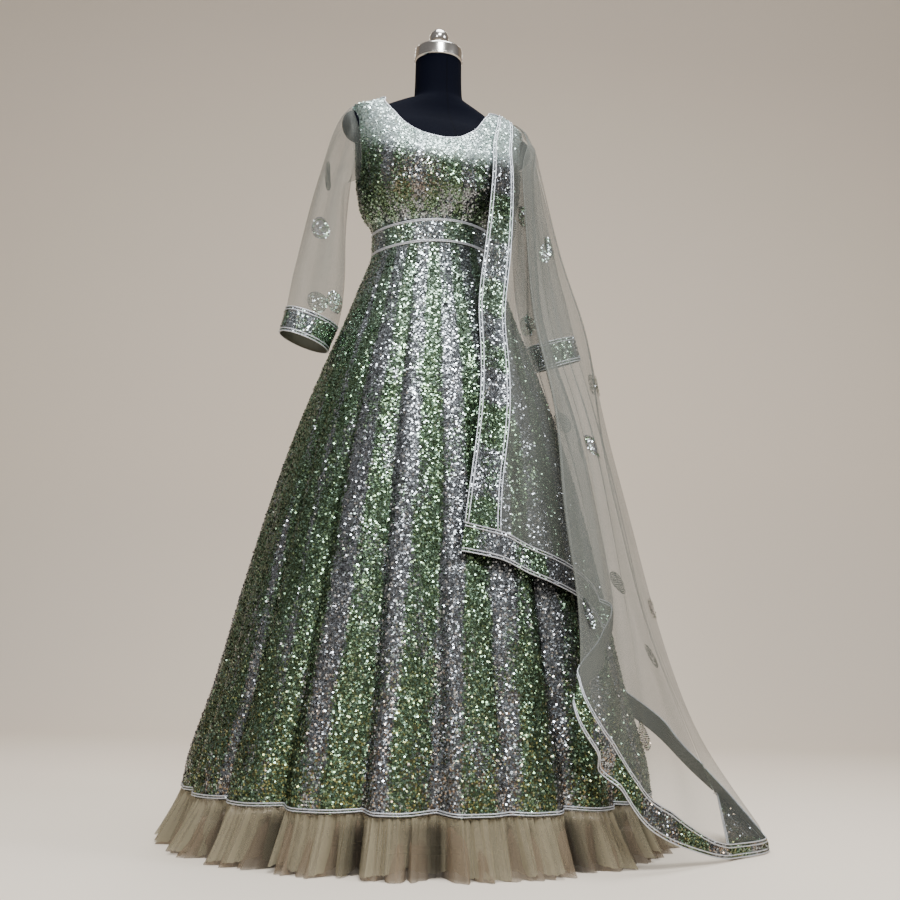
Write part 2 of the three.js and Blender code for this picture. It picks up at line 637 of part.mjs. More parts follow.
const outlines = new Map();
function outlineAt(z) {
  const level = Math.round(z / 6) * 6;
  if (outlines.has(level)) return outlines.get(level);
  const points = [];
  for (let turn = 0; turn < 360; turn += 6) {
    const rings = level > 1150 ? BODICE_RINGS : SKIRT_RINGS;
    const flare = level < HEM ? mix(12, 42, (HEM - level) / HEM) : 6;
    const p = ringPoint(rings, turn, clamp(level, 60, 1452), level > 1150 ? 3 : flare);
    points.push([p.x, p.y]);
  }
  for (const p of sleeveCloud) if (Math.abs(p.z - level) < 9) points.push([p.x, p.y]);
  points.sort((a, b) => a[0] - b[0] || a[1] - b[1]);
  const cross = (o, a, b) => (a[0] - o[0]) * (b[1] - o[1]) - (a[1] - o[1]) * (b[0] - o[0]);
  const chain = (list) => {
    const hull = [];
    for (const p of list) {
      while (hull.length > 1 && cross(hull[hull.length - 2], hull[hull.length - 1], p) <= 0) hull.pop();
      hull.push(p);
    }
    return hull.slice(0, -1);
  };
  const hull = [...chain(points), ...chain(points.slice().reverse())];
  outlines.set(level, hull);
  return hull;
}

// Distance from the axis to the outline in a direction.
function outlineReach(turn, z) {
  const hull = outlineAt(z);
  const [dx, dy] = [Math.sin(rad(turn)), -Math.cos(rad(turn))];
  let best = 0;
  for (let k = 0; k < hull.length; k += 1) {
    const [ax, ay] = hull[k];
    const [bx, by] = hull[(k + 1) % hull.length];
    const det = dx * (ay - by) - dy * (ax - bx);
    if (Math.abs(det) < 1e-9) continue;
    const along = (ax * (ay - by) - ay * (ax - bx)) / det;
    const share = (dx * ay - dy * ax) / det;
    if (along > best && share >= -1e-6 && share <= 1 + 1e-6) best = along;
  }
  return best;
}

const ridgeHeights = BODICE_RINGS.filter((r) => r.z >= 1418).reverse();
const ridgeHeight = (x) => curve(ridgeHeights.map((r) => r.wide), ridgeHeights.map((r) => r.z), x);

function foldPoint(line, z, start) {
  const heights = [...LEVELS.map((name) => LEVEL_HEIGHT[name])].reverse();
  const turns = [...line.turns].reverse();
  const reaches = [...line.reach].reverse();
  const side = line.turns[0] > 90 ? 1 : -1;
  const top = 90 + side * 0.25;
  const turn = curve([...heights, start], [...turns, top], z);
  const reach = curve([...heights, start], [...reaches, 0], z);
  const rise = clamp((z - LEVEL_HEIGHT.collar) / (start - LEVEL_HEIGHT.collar), 0, 1);
  const lying = z > 1417 ? mix(outlineReach(turn, 1417), line.ridge, rise ** 2) : outlineReach(turn, z);
  const out = Math.max(lying + line.lift * (1 - rise), reach);
  return new THREE.Vector3(out * Math.sin(rad(turn)), -out * Math.cos(rad(turn)), z);
}

// The line between two fold lines, so that each stretch of net has columns of its own.
function between(a, b, t) {
  const both = (name) => a[name].map((v, k) => mix(v, b[name][k], t));
  const number = (name) => mix(a[name], b[name], t);
  return {
    ridge: number("ridge"), foot: number("foot"), lift: number("lift"),
    turns: both("turns"), reach: both("reach"),
  };
}

function fallRows(folds, split, rows) {
  const lines = [];
  for (let k = 0; k < folds.length - 1; k += 1) {
    const parts = k === 0 && folds === FRONT_FOLDS ? 1 : split;
    for (let s = 0; s < parts; s += 1) lines.push(between(folds[k], folds[k + 1], s / parts));
  }
  lines.push(folds[folds.length - 1]);
  const grid = [];
  for (let i = 0; i <= rows; i += 1) {
    grid.push(lines.map((line) => {
      const start = ridgeHeight(line.ridge) + line.lift - LEAST_LIFT + SEAT;
      const low = Math.max(line.foot, 0);
      const hem = low + Math.min(BORDER * 0.93, 20 + 0.62 * low);
      const upper = [start, start - 9, mix(start, 1403, 0.6), 1395];
      const t = (i - 3) / (rows - 4);
      const z = i === rows ? low : i < 3 ? upper[i] : mix(upper[3], hem, t ** 1.35);
      return foldPoint(line, z, start);
    }));
  }
  return grid;
}

// A strip that lies on a net wall: its own points, moved out.
function moved(points, out) {
  const rows = points.length;
  const columns = points[0].length;
  return points.map((line, i) => line.map((p, j) => {
    const down = points[Math.min(i + 1, rows - 1)][j].clone().sub(points[Math.max(i - 1, 0)][j]);
    const across = line[Math.min(j + 1, columns - 1)].clone().sub(line[Math.max(j - 1, 0)]);
    return p.clone().addScaledVector(down.cross(across).normalize(), out);
  }));
}

// The same points with every side drawn in, so that a strip ends short of its neighbour.
function shortened(points, by) {
  const rows = points.length - 1;
  const columns = points[0].length - 1;
  const towards = (p, q) => p.clone().addScaledVector(q.clone().sub(p).normalize(), by);
  const narrow = points.map((line) => line.map((p, j) => {
    if (j === 0) return towards(p, line[1]);
    return j === columns ? towards(p, line[columns - 1]) : p;
  }));
  return narrow.map((line, i) => line.map((p, j) => {
    if (i === 0) return towards(p, narrow[1][j]);
    return i === rows ? towards(p, narrow[rows - 1][j]) : p;
  }));
}

function scarf() {
  const rows = 14;
  const front = fallRows(FRONT_FOLDS, 2, rows);
  const back = fallRows(BACK_FOLDS, 3, rows);
  add("dupatta_front_fall", wall(front, NET), netCloth);
  add("dupatta_back_fall", wall(back, NET), netCloth);
  const lie = NET / 2 + 1.5 * GAP + TRIM / 2;
  const last = front[0].length - 1;
  const edgeOfEnd = back[0].length - 5;
  const wide = back[0].length - 1;
  const strips = [
    { name: "front_edge", grid: front, from: [0, 0], to: [rows - 1, 1] },
    { name: "front_end", grid: front, from: [rows - 1, 0], to: [rows, last] },
    { name: "long_edge", grid: back, from: [rows - 1, 0], to: [rows, edgeOfEnd] },
    { name: "back_end", grid: back, from: [rows - 1, edgeOfEnd], to: [rows, wide] },
    { name: "back_edge", grid: back, from: [0, wide - 1], to: [rows - 1, wide] },
  ];
  for (const { name, grid, from, to } of strips) {
    const out = moved(grid, lie).slice(from[0], to[0] + 1).map((line) => line.slice(from[1], to[1] + 1));
    add(`dupatta_border_${name}`, wall(shortened(out, SEAM), TRIM), sequinCloth);
  }
}

dressForm();
bodicePanel("bodice_front", false);
bodicePanel("bodice_back", true);
neckBinding();
waistband();
skirt();
frill();
sleeves();
scarf();

export default garment;
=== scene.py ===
"""A floor-length sequin gown with net sleeves, a net frill and a long net scarf (dupatta), on a
limbless dress form. Each operator models and finishes one piece, or one group of like pieces, in
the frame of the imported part: metres, +Z up, front towards -Y, wearer's left towards +X."""
import functools
import math
from collections import namedtuple

import bpy
import numpy as np
from mathutils import Matrix, Vector


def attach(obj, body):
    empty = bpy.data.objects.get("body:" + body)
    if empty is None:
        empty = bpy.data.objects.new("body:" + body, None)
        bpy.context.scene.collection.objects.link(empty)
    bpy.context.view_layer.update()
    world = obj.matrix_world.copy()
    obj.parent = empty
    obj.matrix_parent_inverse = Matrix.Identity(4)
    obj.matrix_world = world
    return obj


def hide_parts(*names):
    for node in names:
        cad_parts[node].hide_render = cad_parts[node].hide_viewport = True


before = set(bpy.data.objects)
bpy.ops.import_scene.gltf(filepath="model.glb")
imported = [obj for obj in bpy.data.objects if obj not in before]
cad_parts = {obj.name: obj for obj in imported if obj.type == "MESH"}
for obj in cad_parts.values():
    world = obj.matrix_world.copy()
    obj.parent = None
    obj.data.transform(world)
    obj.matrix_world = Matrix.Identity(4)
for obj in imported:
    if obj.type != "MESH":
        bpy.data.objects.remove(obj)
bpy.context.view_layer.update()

bl_info = {
    "name": "Sequin gown with net dupatta",
    "version": (1, 0, 0),
    "blender": (4, 5, 0),
    "location": "View3D > Sidebar > Gown",
    "description": "Models and finishes a sequin gown, its dupatta and the dress form under them",
    "category": "Object",
}

# ---- sizes shared by the pieces: metres, and degrees from the centre front --
GAP = 0.0004                  # between two cloths
SEQUIN_CLOTH = 0.002
NET = 0.0012
TRIM = 0.0016
BAND_TOP = 1.187              # waistband, at the centre front
BAND_HEIGHT = 0.048
BAND_DIP = 0.015              # how much lower the waistband is at the sides
WAIST = 1.165                 # height of the narrowest ring of the bodice
BELT_CLOSE = 0.5              # spacing of the belt's cords, beside the scarf's
HEM = 0.097
HEM_DIP = 0.004               # how much the hem dips on a fold's crest
FOLDS_FROM = 1.120            # height where the skirt starts to fall into folds
SEWN_ON = SEQUIN_CLOTH / 2 + 0.0012    # a cord's middle, off the middle of the cloth
GATHERS = 74                  # in each half of the frill
FRILL_FOOT = 0.0025
ARMHOLE_MIDDLE = 1.343
ARMHOLE_HALF = 0.075
ARMHOLE_TURN = 10             # how far the armhole cuts in from the side
SEAM_TURN = 89.25             # where a bodice panel ends, just short of the side
BORDER = 0.052
NECK_END = 1.446              # height of the neck edge on the shoulder
BINDING_INSIDE = 0.0016
BINDING_ABOVE = 0.0014
BINDING_DIP = 0.0035          # how much lower the binding is on top of the shoulder
SEQUINS_END = 1.441           # no sequins above it, where the binding closes the shoulder
NECK_MIDDLE = 1.40            # middle of the painted sheen round the neckline
LEAST_LIFT = 0.008            # of a fold line off what is under it
SEAT = SEQUIN_CLOTH / 2 + NET / 2 + 3 * GAP
FORM_FOOT = 0.93
NECK_TOP = 1.549
CAP_RADIUS = 0.0486
CAP_TOP = 1.5836
FINIAL_TOP = 1.6226

Ring = namedtuple("Ring", "z wide deep y")
SleeveRing = namedtuple("SleeveRing", "in_x in_z out_x out_z y half spread")
SkirtFold = namedtuple("SkirtFold", "at half fall")
NeckPoint = namedtuple("NeckPoint", "turn height")
Fold = namedtuple("Fold", "name ridge foot lift turns reach")
Stripe = namedtuple("Stripe", "waist hem half")
Butta = namedtuple("Butta", "across down radius", defaults=(0.02,))

FORM_RINGS = [
    Ring(0.93, 0.138, 0.112, 0.002),
    Ring(1, 0.14, 0.114, 0.002),
    Ring(1.06, 0.13, 0.102, 0.001),
    Ring(1.11, 0.119, 0.093, 0),
    Ring(1.146, 0.125, 0.0984, 0),
    Ring(1.162, 0.125, 0.0984, 0),
    Ring(1.19, 0.12, 0.093, 0),
    Ring(1.23, 0.144, 0.107, -0.008),
    Ring(1.27, 0.158, 0.118, -0.014),
    Ring(1.31, 0.163, 0.116, -0.014),
    Ring(1.35, 0.164, 0.098, -0.01),
    Ring(1.385, 0.165, 0.078, -0.009),
    Ring(1.404, 0.16, 0.062, -0.009),
    Ring(1.422, 0.138, 0.052, -0.009),
    Ring(1.438, 0.108, 0.048, -0.009),
    Ring(1.452, 0.08, 0.047, -0.007),
    Ring(1.461, 0.0585, 0.047, -0.005),
    Ring(1.4685, 0.0498, 0.047, -0.003),
    Ring(1.5, 0.0478, 0.047, -0.001),
    Ring(1.549, 0.047, 0.047, 0),
]
BODICE_RINGS = [
    Ring(1.165, 0.1256, 0.099, 0),
    Ring(1.187, 0.13, 0.101, 0),
    Ring(1.2, 0.144, 0.108, -0.004),
    Ring(1.221, 0.157, 0.118, -0.009),
    Ring(1.253, 0.166, 0.128, -0.015),
    Ring(1.3, 0.17, 0.128, -0.016),
    Ring(1.337, 0.172, 0.114, -0.012),
    Ring(1.37, 0.175, 0.098, -0.01),
    Ring(1.395, 0.179, 0.084, -0.01),
    Ring(1.418, 0.184, 0.07, -0.01),
    Ring(1.434, 0.15, 0.064, -0.01),
    Ring(1.45, 0.11, 0.06, -0.01),
    Ring(1.462, 0.088, 0.057, -0.009),
]
SKIRT_RINGS = [
    Ring(-0.02, 0.452, 0.456, 0.029),
    Ring(0.095, 0.442, 0.447, 0.027),
    Ring(0.138, 0.436, 0.44, 0.025),
    Ring(0.289, 0.391, 0.394, 0.022),
    Ring(0.443, 0.353, 0.354, 0.018),
    Ring(0.599, 0.312, 0.31, 0.013),
    Ring(0.758, 0.264, 0.258, 0.008),
    Ring(0.88, 0.22, 0.205, 0.004),
    Ring(0.941, 0.196, 0.176, 0.002),
    Ring(1.003, 0.171, 0.146, 0.001),
    Ring(1.045, 0.156, 0.128, 0),
    Ring(1.086, 0.141, 0.112, 0),
    Ring(1.124, 0.128, 0.1, 0),
    Ring(1.165, 0.1256, 0.099, 0),
]
SLEEVE_RINGS = [
    SleeveRing(0.188, 1.262, 0.202, 1.398, -0.002, 0.054, 0),
    SleeveRing(0.189, 1.24, 0.217, 1.362, 0.004, 0.052, 0),
    SleeveRing(0.186, 1.205, 0.233, 1.3, 0.012, 0.048, 0.001),
    SleeveRing(0.182, 1.155, 0.251, 1.222, 0.02, 0.044, 0.005),
    SleeveRing(0.179, 1.088, 0.27, 1.134, 0.024, 0.04, 0.011),
    SleeveRing(0.182, 1.026, 0.285, 1.064, 0.026, 0.037, 0.018),
    SleeveRing(0.19, 0.976, 0.293, 1.008, 0.028, 0.035, 0.024),
]
CUFF_RING = SleeveRing(0.209, 0.925, 0.304, 0.957, 0.03, 0.036, 0.028)

SKIRT_FOLDS = [
    SkirtFold(-172, 12, 0.034), SkirtFold(-149, 11, 0.026), SkirtFold(-126, 12, 0.032),
    SkirtFold(-103, 11, 0.03), SkirtFold(-83, 9, 0.024), SkirtFold(-66, 9, 0.026),
    SkirtFold(-47, 10, 0.03), SkirtFold(-29, 8, 0.034), SkirtFold(-11, 10, 0.032),
    SkirtFold(9, 10, 0.036), SkirtFold(27, 8, 0.03), SkirtFold(43, 8, 0.032),
    SkirtFold(61, 10, 0.028), SkirtFold(82, 10, 0.026), SkirtFold(104, 12, 0.032),
    SkirtFold(128, 11, 0.028), SkirtFold(150, 11, 0.034), SkirtFold(168, 8, 0.026),
]

# Neck edge at the back, the same on both sides of the middle.
NECK_BACK = [
    NeckPoint(0, 1.412), NeckPoint(10, 1.4125), NeckPoint(17, 1.414), NeckPoint(24, 1.417),
    NeckPoint(31, 1.421), NeckPoint(40, 1.428), NeckPoint(58, 1.441), NeckPoint(90, 1.4505),
]

# Neck edge in front, from the right shoulder to the left.
NECK_FRONT = [
    NeckPoint(-90, 1.446), NeckPoint(-75, 1.4405), NeckPoint(-62, 1.4355), NeckPoint(-55, 1.430),
    NeckPoint(-48.5, 1.422), NeckPoint(-42, 1.396), NeckPoint(-38, 1.377), NeckPoint(-31.5, 1.359),
    NeckPoint(-22.5, 1.3455), NeckPoint(-10, 1.340), NeckPoint(0, 1.346), NeckPoint(7, 1.3585),
    NeckPoint(15, 1.377), NeckPoint(21, 1.400), NeckPoint(26, 1.419), NeckPoint(36, 1.4315),
    NeckPoint(58, 1.438), NeckPoint(75, 1.4415), NeckPoint(90, 1.446),
]

# Green stripes of the cloth: turn at the waist and at the hem, and half width, in degrees.
STRIPES = [
    Stripe(-168, -178, 6), Stripe(-148, -156, 6), Stripe(-128, -134, 6), Stripe(-109, -113, 6),
    Stripe(-93, -95, 5), Stripe(-82, -79, 4.5), Stripe(-74, -64, 5.5), Stripe(-58, -53, 5),
    Stripe(-37, -38, 4.2), Stripe(-17, -23, 4.4), Stripe(2, -8, 4), Stripe(21, 6, 4),
    Stripe(38, 22, 4.4), Stripe(56, 39, 5), Stripe(74, 57, 5), Stripe(92, 76, 5.5),
    Stripe(112, 97, 6), Stripe(132, 119, 6), Stripe(152, 140, 6), Stripe(172, 161, 6),
]

# The scarf: where each hanging fold line crosses the shoulder, the height of its lower end, its
# lift off what is under it, then its turn and least distance from the axis at each level.
LEVELS = (1.403, 1.325, 1.165, 1.0, 0.8, 0.6, 0.4, 0.2, 0.0)
COLLAR = LEVELS[0]
UPPER_LIFT = 0.5         # share of a fold line's lift that it keeps on the shoulder and arm
STRAIGHTENING = 25       # rounds of evening each fold line along its length
WAIST_BRIDGE = (1.0, 1.33)    # heights between which the scarf hangs clear of the waist
FRONT_FOLDS = [
    Fold("front_edge", 0.127, 0.525, 0.008, (47, 27, 20, 11, 0, -9, -14, -14, -14),
         (0, 0, 0.13, 0.152, 0, 0, 0, 0, 0)),
    Fold("band_edge", 0.150, 0.513, 0.008, (62, 46, 41, 30, 14, 2, 0, 0, 0),
         (0, 0, 0.152, 0.172, 0, 0, 0, 0, 0)),
    Fold("net_a", 0.153, 0.492, 0.008, (69, 54, 51, 42, 26, 13, 8, 8, 8),
         (0, 0, 0.16, 0.178, 0, 0, 0, 0, 0)),
    Fold("net_b", 0.156, 0.474, 0.009, (74, 59, 58, 50, 37, 24, 18, 18, 18),
         (0, 0, 0.168, 0.186, 0, 0, 0, 0, 0)),
    Fold("under_a", 0.159, 0.448, 0.009, (80, 65, 66, 58, 50, 39, 29, 26, 26),
         (0, 0, 0.172, 0.196, 0, 0, 0, 0, 0)),
    Fold("under_turn", 0.161, 0.395, 0.01, (83, 70, 73, 67, 62, 53, 39, 34, 34),
         (0, 0, 0.186, 0.218, 0.288, 0.334, 0.384, 0, 0)),
    Fold("mid", 0.160, 0.34, 0.0125, (80, 64, 62, 58, 49, 38, 29, 24, 24),
         (0, 0, 0.182, 0.214, 0.287, 0.342, 0.4, 0.44, 0)),
    Fold("pleat_edge", 0.160, 0.275, 0.0155, (77, 57, 51, 48, 34, 22, 18, 10, 8),
         (0, 0, 0.176, 0.21, 0.286, 0.352, 0.418, 0.45, 0)),
    Fold("top_a", 0.162, 0.195, 0.016, (80, 62, 58, 54, 41, 29, 23, 15.5, 14),
         (0, 0, 0.196, 0.222, 0.296, 0.361, 0.424, 0.474, 0)),
    Fold("top_b", 0.165, 0.14, 0.016, (82, 67, 64, 59, 48, 36, 30, 22, 17),
         (0, 0, 0.206, 0.234, 0.306, 0.368, 0.427, 0.478, 0.5)),
    Fold("top_c", 0.168, 0.072, 0.015, (84, 71, 70, 63, 54, 43, 37, 30, 25),
         (0, 0, 0.216, 0.25, 0.318, 0.376, 0.43, 0.486, 0.515)),
    Fold("top_d", 0.171, 0.03, 0.013, (86, 75, 75, 67, 60, 51, 46, 41, 37),
         (0, 0, 0.232, 0.272, 0.328, 0.384, 0.435, 0.496, 0.536)),
    Fold("top_e", 0.174, 0.004, 0.012, (87, 79, 80, 72, 66, 60, 56, 53, 50),
         (0, 0, 0.246, 0.294, 0.338, 0.39, 0.44, 0.508, 0.58)),
    Fold("corner", 0.177, 0.0022, 0.01, (88, 83, 85, 78, 73, 69, 66, 64.5, 63),
         (0, 0, 0.256, 0.322, 0.347, 0.394, 0.443, 0.52, 0.646)),
    Fold("side", 0.179, 0.084, 0.01, (89, 87, 90, 85, 81, 79, 78, 77, 77),
         (0, 0, 0.262, 0.336, 0.352, 0.396, 0.448, 0.532, 0.606)),
]
BACK_FOLDS = [
    Fold("side_back", 0.179, 0.09, 0.01, (91, 88.2, 90.6, 85.6, 81.6, 79.6, 78.6, 77.6, 77.6),
         (0, 0, 0.262, 0.336, 0.352, 0.396, 0.448, 0.532, 0.606)),
    Fold("hang_a", 0.172, 0.16, 0.012, (93, 94, 97, 93, 90, 88, 87, 87, 87),
         (0, 0, 0.262, 0.348, 0.366, 0.402, 0.452, 0.528, 0.56)),
    Fold("hang_b", 0.165, 0.222, 0.012, (95, 101, 104, 102, 99, 97, 96, 96, 96),
         (0, 0, 0.25, 0.328, 0.35, 0.384, 0.44, 0.5, 0.53)),
    Fold("hang_c", 0.157, 0.258, 0.014, (98, 108, 111, 112, 110, 108, 107, 107, 107),
         (0, 0, 0.218, 0.262, 0.318, 0.372, 0.43, 0.48, 0)),
    Fold("hang_d", 0.15, 0.272, 0.012, (101, 115, 119, 122, 121, 120, 120, 120, 120),
         (0, 0, 0.19, 0.22, 0.28, 0.34, 0.4, 0.44, 0)),
    Fold("hang_e", 0.146, 0.28, 0.02, (104, 122, 128, 134, 134, 134, 134, 134, 134),
         (0, 0, 0.172, 0.196, 0, 0, 0, 0, 0)),
    Fold("hang_f", 0.140, 0.287, 0.009, (107, 130, 138, 146, 147, 148, 148, 148, 148),
         (0, 0, 0.15, 0.172, 0, 0, 0, 0, 0)),
    Fold("hang_g", 0.134, 0.294, 0.015, (111, 139, 148, 158, 161, 162, 162, 162, 162),
         (0, 0, 0.14, 0.162, 0, 0, 0, 0, 0)),
    Fold("back_edge", 0.128, 0.3, 0.008, (116, 147, 156, 168, 173, 175, 175, 175, 175),
         (0, 0, 0.132, 0.156, 0, 0, 0, 0, 0)),
]


# ---- forms: smooth curves through the tables, on arrays ---------------------
def curve(xs, ys, x):
    """Smooth curve through knots (xs rising) that never overshoots them."""
    xs, ys = np.asarray(xs, float), np.asarray(ys, float)
    step = np.diff(ys) / np.diff(xs)
    before, after = step[:-1], step[1:]
    total = np.where(before + after == 0, 1, before + after)
    slope = np.zeros(len(xs))
    slope[1:-1] = np.where(before * after <= 0, 0, 2 * before * after / total)
    x = np.clip(x, xs[0], xs[-1])
    i = np.clip(np.searchsorted(xs, x) - 1, 0, len(xs) - 2)
    width = xs[i + 1] - xs[i]
    t = (x - xs[i]) / width
    t2, t3 = t * t, t * t * t
    return (ys[i] * (2 * t3 - 3 * t2 + 1) + ys[i + 1] * (3 * t2 - 2 * t3)
            + width * (slope[i] * (t3 - 2 * t2 + t) + slope[i + 1] * (t3 - t2)))


def ring_at(rings, z):
    heights = [r.z for r in rings]
    return [curve(heights, [getattr(r, name) for r in rings], z) for name in ("wide", "deep", "y")]


def ring_point(rings, turn, z, out=0.0):
    wide, deep, y = ring_at(rings, z)
    a = np.radians(turn)
    parts = np.broadcast_arrays((wide + out) * np.sin(a), y - (deep + out) * np.cos(a), z)
    return np.stack(parts, -1)


def smooth_step(low, high, x):
    """0 at low and 1 at high, which may lie either way round."""
    t = np.clip((np.asarray(x, float) - low) / (high - low), 0, 1)
    return t * t * (3 - 2 * t)


def normals_of(grid, closed=False):
    """Unit normals of a grid of points; rows run down and columns towards the wearer's left."""
    down = np.gradient(grid, axis=0)
    if closed:
        across = np.roll(grid, -1, 1) - np.roll(grid, 1, 1)
    else:
        across = np.gradient(grid, axis=1)
    normal = np.cross(down, across)
    return normal / np.maximum(np.linalg.norm(normal, axis=-1, keepdims=True), 1e-12)


def lifted(grid, out, closed=False):
    return grid + normals_of(grid, closed) * np.asarray(out)[..., None]


def closed_up(grid):
    """A tube's grid with its first column again at the end."""
    return np.concatenate([grid, grid[:, :1]], 1)


def length_along(line):
    """Length from a line's start to each of its points."""
    return np.concatenate([[0], np.cumsum(np.linalg.norm(np.diff(line, axis=0), axis=-1))])


def mean_length(grid, axis):
    """Mean length from a grid's first row (axis 0) or column (axis 1) to each of the others."""
    steps = np.linalg.norm(np.diff(grid, axis=axis), axis=-1).mean(1 - axis)
    return np.concatenate([[0], np.cumsum(steps)])


def at_place(grid, row, column):
    """Points of a grid between its own, at fractional rows and columns."""
    row = np.clip(row, 0, grid.shape[0] - 1.001)
    column = np.clip(column, 0, grid.shape[1] - 1.001)
    i, j = row.astype(int), column.astype(int)
    s, t = (row - i), (column - j)
    if grid.ndim > 2:
        s, t = s[..., None], t[..., None]
    upper = grid[i, j] * (1 - t) + grid[i, j + 1] * t
    lower = grid[i + 1, j] * (1 - t) + grid[i + 1, j + 1] * t
    return upper * (1 - s) + lower * s


# ---- mesh making ------------------------------------------------------------
def only(piece):
    """Selects one piece and makes it active."""
    bpy.ops.object.select_all(action="DESELECT")
    piece.select_set(True)
    bpy.context.view_layer.objects.active = piece


def edit_all(piece):
    only(piece)
    bpy.ops.object.mode_set(mode="EDIT")
    bpy.ops.mesh.select_all(action="SELECT")


def linked(name, data):
    """A new object in the scene."""
    made = bpy.data.objects.new(name, data)
    bpy.context.scene.collection.objects.link(made)
    return made


def new_object(name, points, faces, marks=None, uv=None, smooth=True):
    """A mesh object from points and faces of equal size; marks are named values of each point."""
    points = np.asarray(points, np.float32).reshape(-1, 3)
    faces = np.asarray(faces, np.int32)
    sides = faces.shape[1]
    mesh = bpy.data.meshes.new(name)
    mesh.vertices.add(len(points))
    mesh.vertices.foreach_set("co", points.ravel())
    mesh.loops.add(faces.size)
    mesh.loops.foreach_set("vertex_index", faces.ravel())
    mesh.polygons.add(len(faces))
    mesh.polygons.foreach_set("loop_start", np.arange(0, faces.size, sides, dtype=np.int32))
    mesh.polygons.foreach_set("use_smooth", np.full(len(faces), smooth))
    mesh.update(calc_edges=True)
    for mark, values in (marks or {}).items():
        layer = mesh.attributes.new(mark, "FLOAT", "POINT")
        layer.data.foreach_set("value", np.asarray(values, np.float32).ravel())
    if uv is not None:
        name_of_map, places = uv
        layer = mesh.uv_layers.new(name=name_of_map)
        places = np.asarray(places, np.float32).reshape(-1, 2)
        layer.data.foreach_set("uv", places[faces.ravel()].ravel())
    return linked(name, mesh)


def cloth_sheet(name, grid, closed=False, marks=None):
    """A sheet through a grid of points. Its map is in metres, along and down the cloth."""
    rows, columns = grid.shape[:2]
    if closed:
        grid = closed_up(grid)
        marks = {mark: closed_up(values) for mark, values in marks.items()}
        columns += 1
    i, j = np.meshgrid(np.arange(rows - 1), np.arange(columns - 1), indexing="ij")
    a = (i * columns + j).ravel()
    faces = np.stack([a, a + columns, a + columns + 1, a + 1], 1)
    along, down = mean_length(grid, 1), mean_length(grid, 0)
    uv = np.stack(np.broadcast_arrays(along[None, :], -down[:, None]), -1)
    made = new_object(name, grid, faces, marks, ("Cloth", uv))
    if closed:
        edit_all(made)
        bpy.ops.mesh.remove_doubles(threshold=1e-6)
        bpy.ops.object.mode_set(mode="OBJECT")
    return made


def thickened(piece, thickness):
    """Gives a sheet its wall, on its inner side, which has the next material."""
    only(piece)
    wall = piece.modifiers.new("Wall", "SOLIDIFY")
    wall.thickness = thickness
    wall.offset = -1
    wall.material_offset = 1
    wall.material_offset_rim = 0
    bpy.ops.object.modifier_apply(modifier=wall.name)


def cords(name, lines, radius, closed, sides=6):
    """One mesh of round cords along lines of points."""
    all_points, all_faces, start = [], [], 0
    for line in lines:
        count = len(line)
        if closed:
            tangent = np.roll(line, -1, 0) - np.roll(line, 1, 0)
        else:
            tangent = np.gradient(line, axis=0)
        tangent /= np.maximum(np.linalg.norm(tangent, axis=1, keepdims=True), 1e-12)
        flat = np.cross(tangent, (0, 0, 1.0))
        upright = np.linalg.norm(flat, axis=1) < 0.2
        flat[upright] = np.cross(tangent[upright], (0, 1.0, 0))
        flat /= np.linalg.norm(flat, axis=1, keepdims=True)
        for k in range(1, count):
            if flat[k] @ flat[k - 1] < 0:
                flat[k] *= -1
        rise = np.cross(tangent, flat)
        a = (2 * np.pi * np.arange(sides) / sides)[None, :, None]
        ring = (flat[:, None] * np.cos(a) + rise[:, None] * np.sin(a)) * radius
        all_points.append((line[:, None] + ring).reshape(-1, 3))
        runs = count if closed else count - 1
        k, s = np.meshgrid(np.arange(runs), np.arange(sides), indexing="ij")
        n, t = (k + 1) % count, (s + 1) % sides
        faces = np.stack([k * sides + s, k * sides + t, n * sides + t, n * sides + s], -1)
        all_faces.append(faces.reshape(-1, 4) + start)
        start += count * sides
    made = new_object(name, np.concatenate(all_points), np.concatenate(all_faces))
    if not closed:
        edit_all(made)
        bpy.ops.mesh.fill_holes(sides=sides)
        bpy.ops.object.mode_set(mode="OBJECT")
    return made


# ---- sequins ----------------------------------------------------------------
SEQUIN_SIDES = 4
SEQUIN_PITCH = 0.9            # from one sequin to the next, in widths of one
ASTRAY = 0.16                 # how far a sequin strays from its place in its line, in pitches


def scatter(grid, pitch, chance, inset):
    """Fractional rows and columns of sequins sewn in staggered lines, pitch apart, on a grid."""
    drop = mean_length(grid, 0)
    lines = np.arange(pitch * inset, drop[-1] - pitch * 0.3, pitch * math.sqrt(3) / 2)
    rows_at = np.interp(lines, drop, np.arange(len(drop)))
    places = []
    for k, row in enumerate(rows_at):
        i = min(int(row), len(grid) - 2)
        line = grid[i] * (1 - row + i) + grid[i + 1] * (row - i)
        run = length_along(line)
        count = int(run[-1] / pitch)
        if count < 1:
            continue
        spots = (np.arange(count) + 0.5 + (0.25 if k % 2 else -0.25)) * run[-1] / count
        spots = np.clip(spots + chance.normal(0, pitch * ASTRAY, count), 0, run[-1])
        column = np.interp(spots, run, np.arange(len(run)))
        stray = chance.normal(0, ASTRAY, count) * pitch * len(grid) / drop[-1]
        places.append(np.stack([row + stray, column], 1))
    return np.concatenate(places).T


